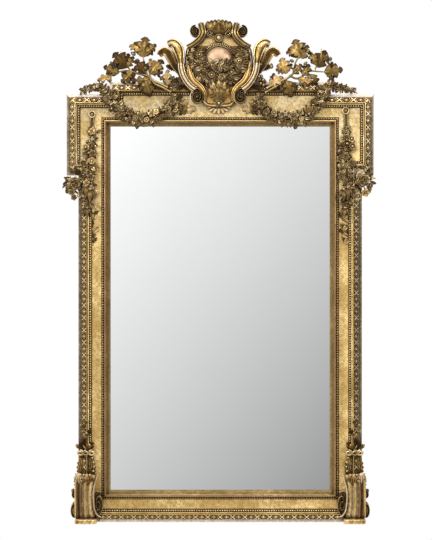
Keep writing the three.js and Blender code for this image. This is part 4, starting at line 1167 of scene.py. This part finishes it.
def carveShield(bm):
    mid = crest["middle"]
    half = evenRoute([(x, y, 0) for x, y in crest["side"]], 8)
    rim = [Vector((mid + point.x, point.y)) for point in half]
    rim += [Vector((mid - point.x, point.y)) for point in reversed(half)]
    shield = loopFace(bm, rim, crest["back"])
    for inset, rise, tone in crest["steps"]:
        stepIn(bm, shield, inset, rise, tone, even=False)
    shield.material_index = coat["honey"]
    honeyFrom, amberTo = crest["grounds"]["honeyFrom"], crest["grounds"]["amberTo"]
    for height in (honeyFrom, amberTo):
        bmesh.ops.bisect_plane(bm, geom=bm.verts[:] + bm.edges[:] + bm.faces[:], plane_co=(0, height, 0),
                               plane_no=(0, 1, 0))
    for face in bm.faces:  # only the ground above the wreath has kept its honey tone
        height = face.calc_center_median().y
        if face.material_index == coat["honey"] and height < honeyFrom:
            face.material_index = coat["amber" if height < amberTo else "aged"]
    closeHoles(bm)
    coatFaces([face for face in bm.faces if face.calc_center_median().z < crest["back"] + 0.1], "plain")


def carveBoss(bm):
    mid, boss = crest["middle"], crest["boss"]
    ball(bm, (mid, boss["y"], boss["z"]), (boss["radius"], boss["radius"], boss["rise"]), (40, 24), "blush")
    rim = ring((mid, boss["y"]), boss["radius"] + 2, 60, 60)
    sweep(bm, rim, roundSection, swelling(3, 5, 1, 1), "aged")
    out = boss["radius"] + boss["beadOut"]
    for k in range(boss["beads"]):
        turn = 90 + (k - boss["beads"] // 2) * boss["beadTurn"]
        way = math.radians(turn)
        spot = (mid + out * math.cos(way), boss["y"] + out * math.sin(way), boss["z"])
        stamp(bm, mould["bead"], spot, (6, 2.3, 6), turn, tone="bright")


def carveCap(bm):
    mid, cap, medal = crest["middle"], crest["cap"], crest["medal"]

    def rule(t, s):
        lobe = 0.91 + 0.09 * abs(math.cos(math.pi * cap["lobes"] / 2 * s)) ** 0.7
        lift = cap["tall"] * t * (1 if t < 0.7 else 1 - (1 - lobe) * (t - 0.7) / 0.3)
        narrow = 0.88 + 0.12 * math.sin(math.pi * min(0.5, t * 0.9)) - 0.2 * max(0, t - 0.8)
        z = 50 + 16 * math.sin(math.pi * min(1, 0.15 + 0.62 * t)) * (1 - 0.5 * s * s)
        z += 1.6 * math.cos(math.pi * cap["lobes"] * s) * t
        # soot and painted shade darken the top edge of the cap and its foot
        sootAndShade = 0.75 * t ** 5 + 0.3 * (1 - t) ** 3
        return Vector((mid + cap["half"] * s * narrow, cap["foot"] + lift - 8 * s * s * t, z)), sootAndShade

    tint(bentSheet(bm, 14, 56, rule, 14), "aged")
    for heading, length in cap["leaves"]:
        stamp(bm, mould["acanthus"], (mid, cap["foot"] + 12, 62), (length, length * 0.42, 20), heading, 6,
              tone="amber")
    ball(bm, (mid, medal["y"], 58), medal["size"], (20, 10), "honey")
    sweep(bm, ring((mid, medal["y"]), medal["ring"], 60, 32), roundSection, swelling(2.6, 5, 1, 1), "aged")


def carveFan(bm):  # acanthus above the shell, with a rose where they meet
    mid, shell = crest["middle"], crest["shell"]
    heartY, heartZ = crest["heart"]
    for heading, length, tone in crest["fan"]:
        place = (mid, heartY, heartZ - 1.5 * abs(heading - 90) / 20)
        stamp(bm, mould["acanthus"], place, (length, 25, 26), heading, 7, 0, tone)

    def rule(t, s):
        angle = math.radians(-90 + shell["spread"] * s)
        lobe = abs(math.cos(math.pi * shell["lobes"] / 2 * s))
        reach = shell["hub"] + (shell["reach"] - shell["hub"]) * t * (0.86 + 0.14 * lobe)
        z = 32 + 10 * math.sin(math.pi * (0.2 + 0.7 * t)) + 3.5 * lobe * t
        return Vector((mid + reach * shell["wide"] * math.cos(angle),
                       shell["y"] + reach * shell["tall"] * math.sin(angle), z)), 0.4 * (1 - lobe) ** 2

    tint(bentSheet(bm, 8, 42, rule, 8), "cream")
    stamp(bm, mould["rose"], (mid, heartY, heartZ), 15, tone="dark")
    stamp(bm, mould["berry"], (mid, heartY, heartZ + 6), 4.5, tone="cream")


def carveCrest():
    bm = newCarving()
    mid = crest["middle"]
    carveShield(bm)
    carveBoss(bm)
    for flip in (1, -1):
        crestSide(bm, flip)
    carveCap(bm)
    carveFan(bm)
    x, y, z, size = crest["berry"]
    stamp(bm, mould["berry"], (mid + x, y, z), size, tone="cream")
    for x, y in crest["berries"]:
        stamp(bm, mould["berry"], (mid + x, y, 48), 7, tone="dark")
    hang(bm, "crest_shield", "crest_cartouche")


carveCrest()


# Wreath round the boss, a horseshoe of dark leaves and small flowers

wreath = {
    "seed": 31,
    "outer": {"wide": 17, "route": ((-96, 1690, 62), (-98, 1658, 62), (-84, 1622, 62), (-56, 1590, 62),
                                    (-6, 1572, 62), (44, 1590, 62), (72, 1622, 62), (86, 1658, 62),
                                    (86, 1690, 62))},
    "inner": {"wide": 14, "route": ((-70, 1690, 64), (-68, 1650, 64), (-56, 1616, 64), (-6, 1598, 66),
                                    (44, 1616, 64), (58, 1650, 64), (62, 1690, 64))},
    "lap": {"wide": 10, "route": ((-46, 1640, 72), (-20, 1634, 78), (6, 1632, 78), (34, 1638, 72))},
    "blooms": ((-74, 1672, 68, 12), (-60, 1626, 70, 12), (-30, 1600, 72, 13), (6, 1594, 72, 12),
               (40, 1610, 70, 13), (66, 1650, 68, 12), (74, 1684, 66, 11), (-90, 1640, 66, 11),
               (-8, 1618, 76, 12), (20, 1622, 76, 11)),
    "tones": ("dark", "deep", "dark", "honey", "dark", "aged"),
}


def carveWreath():
    rng = random.Random(wreath["seed"])
    bm = newCarving()
    for run in ("outer", "inner", "lap"):
        wide, route = wreath[run]["wide"], wreath[run]["route"]
        sweep(bm, evenRoute(route, 9), roundSection, swelling(wide * 0.5, 5, 0.5, 0.5), "dark")
        growth(bm, rng, route, swelling(wide, 8, 0.6, 0.6), 8, 24, 0.5, wreath["tones"])
    for x, y, z, size in wreath["blooms"]:
        stamp(bm, mould[rng.choice(("blossom", "smallRose"))], (x, y, z), size, rng.uniform(0, 360), 0, 0,
              rng.choice(("aged", "dark")))
    hang(bm, "crest_wreath", "crest_garland")


carveWreath()


# Foot consoles: a fluted scroll bracket with side volute, leaf lumps, collar and a climbing vine.
# Built for the left and mirrored for the right.

console = {
    "middle": -481, "top": 176, "foot": 22, "half": 33, "deep": 62, "boleTo": 12,
    "volute": {"centre": (-434, 72, 34), "size": (15, 38, 58)},
    "fold": ((-436, 180, 58), (-444, 152, 66), (-450, 124, 72), (-451, 98, 74), (-447, 56, 74),
             (-438, 35, 72), (-426, 27, 68)),
    "scroll": ((-427, 112, 58), (-436, 115, 60), (-445, 105, 61), (-449, 78, 62), (-446, 53, 63),
               (-435, 35, 64), (-425, 44, 64), (-420, 67, 65), (-424, 90, 66), (-432, 99, 66),
               (-440, 90, 67), (-443, 70, 68), (-438, 53, 68), (-430, 54, 69), (-428, 70, 70),
               (-432, 83, 70), (-436, 76, 70)),
    "lumps": ((-514, 162, 40, 8, 12), (-519, 104, 40, 13, 17), (-521, 48, 42, 15, 35)),
    "base": {"place": (-478, 11, 44), "size": (78, 17, 78), "bevel": 3},
    "baseBeads": ((-508, "bole"), (-494, "aged"), (-480, "honey"), (-466, "aged"), (-452, "honey")),
    "lowLeaves": ((-500, 112, 94, 76, 40, "cream"), (-490, 122, 74, 64, 34, "bright"),
                  (-458, 122, 96, 62, 24, "amber"), (-474, 114, 90, 70, 36, "amber")),
    "highLeaves": ((-478, 248, 269, 112, 66, "aged"), (-492, 244, 262, 84, 34, "amber"),
                   (-464, 244, 276, 84, 34, "bright"), (-478, 236, 270, 74, 26, "bright")),
    "shoulderLeaf": (-500, 100, 140, 40, 26, "aged"),
    "berries": ((-456, 236, 56), (-452, 220, 56), (-450, 204, 56), (-453, 188, 56), (-486, 176, 70),
                (-474, 172, 70), (-464, 176, 70)),
    "collar": {"spot": (-481, 251), "size": (54, 18, 40),
               "rolls": ((-19, 12, -1, "honey"), (2, 11, 1, "aged"), (23, 12, 1, "honey"))},
    "vine": ((-478, 262, 50), (-492, 288, 48), (-474, 312, 47), (-488, 338, 47), (-478, 364, 46)),
    "leaves": ((-476, 258, 52, 60, 40, 22), (-486, 270, 50, 130, 42, 24), (-492, 292, 50, 60, 40, 22),
               (-474, 300, 50, 130, 36, 20), (-476, 318, 50, 40, 34, 18), (-486, 334, 50, 130, 34, 18),
               (-482, 350, 48, 70, 30, 15), (-470, 276, 50, 20, 32, 18), (-496, 268, 48, 160, 34, 20),
               (-466, 266, 48, 44, 36, 22), (-482, 282, 52, 100, 36, 20), (-480, 304, 50, 80, 32, 18)),
    "vineTones": ("amber", "dark", "bright"),
}


def consoleSection():  # soft flutes, closer together on one side
    ridge, last = [], 40
    for k in range(last + 1):
        s = -1 + 2 * k / last
        wave = 0.5 + 0.5 * math.cos(math.tau * (1.7 * s + 0.35 * s * s))
        high = 0.89 + 0.08 * wave + 0.006 * math.cos(math.tau * 7 * s)
        ridge.append((s * 0.97, high, 0.24 * (1 - wave) ** 3))
    return [(-1, 0.06), (-1, 0.8, 0.4)] + ridge + [(1, 0.8, 0.4), (1, 0.06)]


def carveBracket(bm):
    mid, top, foot, half = (console[key] for key in ("middle", "top", "foot", "half"))
    spine = ((mid + 3, top, 0), (mid, top - 40, 0), (mid - 1, foot + 60, 0), (mid + 2, foot, 0))

    def bulge(t):
        deep = console["deep"] + 14 * math.sin(math.pi * t ** 0.8) + 5 * t
        return half * (1 - 0.07 * math.sin(math.pi * t)), deep

    sweep(bm, evenRoute(spine, 6), consoleSection(), bulge,
          lambda spot: "bole" if spot.x < mid - console["boleTo"] else "honey")
    sweep(bm, evenRoute(console["fold"], 4), roundSection, swelling(3.4, 8, 0.6, 0.7), "cream")
    edge = [(mid - half - 1, y, z) for _, y, z in console["fold"]]
    sweep(bm, evenRoute(edge, 6), roundSection, swelling(4, 8, 0.6, 0.7), "amber")
    wide, tall, deep = console["volute"]["size"]
    drum(bm, console["volute"]["centre"], wide, wide * 0.94, deep, 28, "dark", tall / wide)
    sweep(bm, evenRoute(console["scroll"], 3), hollowSection, swelling(3, 9, 1, 0.6, 0.1), "amber")
    for x, y, z, wide, tall in console["lumps"]:
        ball(bm, (x + 1, y, z), (wide, tall * 0.86, 26), (20, 12), "aged")
        roll = scroll((x, y), wide * 0.7, 80, 198, z + 20, 9, tall / wide)
        sweep(bm, roll, roundSection, swelling(2.4, 6, 0.5, 0.5), "aged")


def carveBase(bm):
    base = block(bm, console["base"]["place"], console["base"]["size"], "amber")
    edges = list({edge for vert in base for edge in vert.link_edges})
    bmesh.ops.bevel(bm, geom=edges, offset=console["base"]["bevel"], segments=2, affect="EDGES",
                    profile=0.5, material=-1)
    for x, tone in console["baseBeads"]:
        stamp(bm, mould["bead"], (x, 11, 82), (7, 8, 3), tone=tone)


def carveCollar(bm):
    x, y = console["collar"]["spot"]
    block(bm, (x + 2, y, 30), console["collar"]["size"], "dark")
    for dx, size, way, tone in console["collar"]["rolls"]:
        roll = scroll((x + dx, y + 2), size, 90, 510 * way, 52, 17, 0.8, shrink=0.75, lift=3)
        sweep(bm, roll, roundSection, swelling(4.6, 9, 0.9, 0.6), tone)


def carveConsole(side):
    bm = newCarving()
    carveBracket(bm)
    carveBase(bm)
    for z, lean, leaves in ((62, 4, console["lowLeaves"]), (46, -8, console["highLeaves"]),
                            (62, 4, (console["shoulderLeaf"],))):
        for x, y, heading, length, width, tone in leaves:
            stamp(bm, mould["acanthus"], (x, y, z), (length, width, 34), heading, lean, 0, tone)
    for spot in console["berries"]:
        stamp(bm, mould["berry"], spot, 4, tone="amber")
    carveCollar(bm)
    sweep(bm, evenRoute(console["vine"], 5), roundSection, swelling(3.2, 3.4, 1, 0.5, 0.1), "aged")
    for k, (x, y, z, heading, length, width) in enumerate(console["leaves"]):
        stamp(bm, mould["acanthus"], (x, y, z), (length * 0.78, width * 0.9, 24),
              90 + (heading - 90) * 0.8, 2, tone=console["vineTones"][k % 3])
    if side == "right":
        bmesh.ops.transform(bm, matrix=Matrix.Diagonal((-1, 1, 1, 1)), verts=bm.verts)
    hang(bm, "foot_console_" + side, "scroll_console_" + side)


for side in ("left", "right"):
    carveConsole(side)


# Finishes of the glass and the backboard, which keep their own shapes

glass = {"tones": ((0.955, 0.96, 0.965, 1), (0.92, 0.93, 0.935, 1)), "haze": {"scale": 2.2, "detail": 3},
         "roughness": (0.015, 0.03)}
pine = {"stretch": (14, 14, 0.9), "rings": {"scale": 3, "detail": 6}, "ringCount": 9,
        "fine": {"scale": 40, "detail": 4}, "tones": ((0.36, 0.23, 0.12, 1), (0.24, 0.145, 0.07, 1)),
        "fleck": (0.17, 0.1, 0.05, 1), "roughness": (0.6, 0.8), "bump": 0.3, "bumpDepth": 0.0008}


def paintMirror():
    material, tree, shader, where = newMaterial("silvering")
    shader.inputs["Metallic"].default_value = 1
    haze = noise(tree, where, **glass["haze"])
    tone = mixed(tree, span(tree, haze, 0.35, 0.7, 0, 0.5), *glass["tones"])
    tree.links.new(tone, shader.inputs["Base Color"])
    tree.links.new(span(tree, haze, 0.3, 0.7, *glass["roughness"]), shader.inputs["Roughness"])
    return material


def paintPine():
    material, tree, shader, where = newMaterial("pineBoard")
    stretch = tree.nodes.new("ShaderNodeMapping")
    stretch.inputs["Scale"].default_value = pine["stretch"]
    tree.links.new(where, stretch.inputs["Vector"])
    along = stretch.outputs["Vector"]
    rings = noise(tree, along, **pine["rings"])
    fine = noise(tree, along, **pine["fine"])
    grain = span(tree, maths(tree, "FRACT", maths(tree, "MULTIPLY", rings, pine["ringCount"])), 0, 1)
    tone = mixed(tree, grain, *pine["tones"])
    tone = mixed(tree, span(tree, fine, 0.4, 0.7, 0, 0.5), tone, pine["fleck"])
    tree.links.new(tone, shader.inputs["Base Color"])
    tree.links.new(span(tree, fine, 0.3, 0.7, *pine["roughness"]), shader.inputs["Roughness"])
    bumped(tree, shader, rings, pine["bump"], pine["bumpDepth"])
    return material


for node, material in (("mirror_glass", paintMirror()), ("backboard", paintPine())):
    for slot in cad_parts[node].material_slots:
        slot.material = material
print("glass and backboard painted")


# The camera stands square on, far enough off for its lens to take in a picture this tall

shot = {"lens": 100, "sensor": 36, "tall": 1.9324, "x": -0.015, "z": -0.5906, "plane": -0.04}
camera = bpy.data.objects.new("camera", bpy.data.cameras.new("camera"))
bpy.context.scene.collection.objects.link(camera)
camera.data.lens = shot["lens"]
camera.data.sensor_width = shot["sensor"]
away = shot["tall"] / 2 / (shot["sensor"] / 2 / shot["lens"])
camera.location = (shot["x"], shot["plane"] - away, shot["z"])
camera.rotation_euler = (math.pi / 2, 0, 0)
bpy.context.scene.camera = camera

# Lamps as (name, place, size, power), all turned towards the middle of the mirror
studio = {
    "lamps": (("keyLeft", (-2.2, -2.8, 1.3), 1.2, 46), ("keyRight", (2.4, -2.8, 1.2), 1.2, 52),
              ("topSoft", (0, -1.8, 1.9), 1.6, 30)),
    "aim": (0, 0, -0.5), "fallX": -2.1, "fallZ": 1.85, "middle": 0.765, "glow": (0.3, 1.12), "edge": 0.02,
}


def lightStudio():
    world = bpy.data.worlds.new("studio")
    bpy.context.scene.world = world
    world.use_nodes = True
    tree = world.node_tree
    parts = tree.nodes.new("ShaderNodeSeparateXYZ")
    tree.links.new(tree.nodes.new("ShaderNodeTexCoord").outputs["Generated"], parts.inputs[0])
    # the room in front of the mirror falls off from upper left to lower right, and the room behind is even
    fall = maths(tree, "ADD", maths(tree, "MULTIPLY", parts.outputs["X"], studio["fallX"]),
                 maths(tree, "MULTIPLY", parts.outputs["Z"], studio["fallZ"]))
    glow = tree.nodes.new("ShaderNodeMix")
    tree.links.new(span(tree, parts.outputs["Y"], -studio["edge"], studio["edge"]), glow.inputs[0])
    front = span(tree, maths(tree, "ADD", fall, studio["middle"]), *studio["glow"], *studio["glow"])
    tree.links.new(front, glow.inputs[2])
    glow.inputs[3].default_value = 1.0
    tree.links.new(glow.outputs[0], tree.nodes["Background"].inputs["Strength"])
    tree.nodes["Background"].inputs["Color"].default_value = (1, 1, 1, 1)
    for name, place, size, power in studio["lamps"]:
        data = bpy.data.lights.new(name, "AREA")
        data.size = size
        data.energy = power
        lamp = bpy.data.objects.new(name, data)
        lamp.location = place
        lamp.rotation_euler = (Vector(studio["aim"]) - Vector(place)).to_track_quat("-Z", "Y").to_euler()
        bpy.context.scene.collection.objects.link(lamp)
    bpy.context.scene.view_settings.view_transform = "Standard"


floorPlan = {"half": 4, "forward": -1, "below": 0.9, "roughness": 0.85,
             "mottle": {"scale": 1.5, "detail": 4}, "tones": ((0.78, 0.77, 0.75, 1), (0.84, 0.83, 0.82, 1))}


def layFloor():
    bm = bmesh.new()
    made = bmesh.ops.create_grid(bm, x_segments=8, y_segments=8, size=floorPlan["half"])["verts"]
    bmesh.ops.translate(bm, vec=(0, floorPlan["forward"], bottomEdge - floorPlan["below"]), verts=made)
    mesh = bpy.data.meshes.new("floor")
    bm.to_mesh(mesh)
    bm.free()
    floor = bpy.data.objects.new("floor", mesh)
    bpy.context.scene.collection.objects.link(floor)
    material, tree, shader, where = newMaterial("paleFloor")
    mottle = noise(tree, where, **floorPlan["mottle"])
    tree.links.new(mixed(tree, mottle, *floorPlan["tones"]), shader.inputs["Base Color"])
    shader.inputs["Roughness"].default_value = floorPlan["roughness"]
    mesh.materials.append(material)


lightStudio()
layFloor()
print("camera, light and floor set")
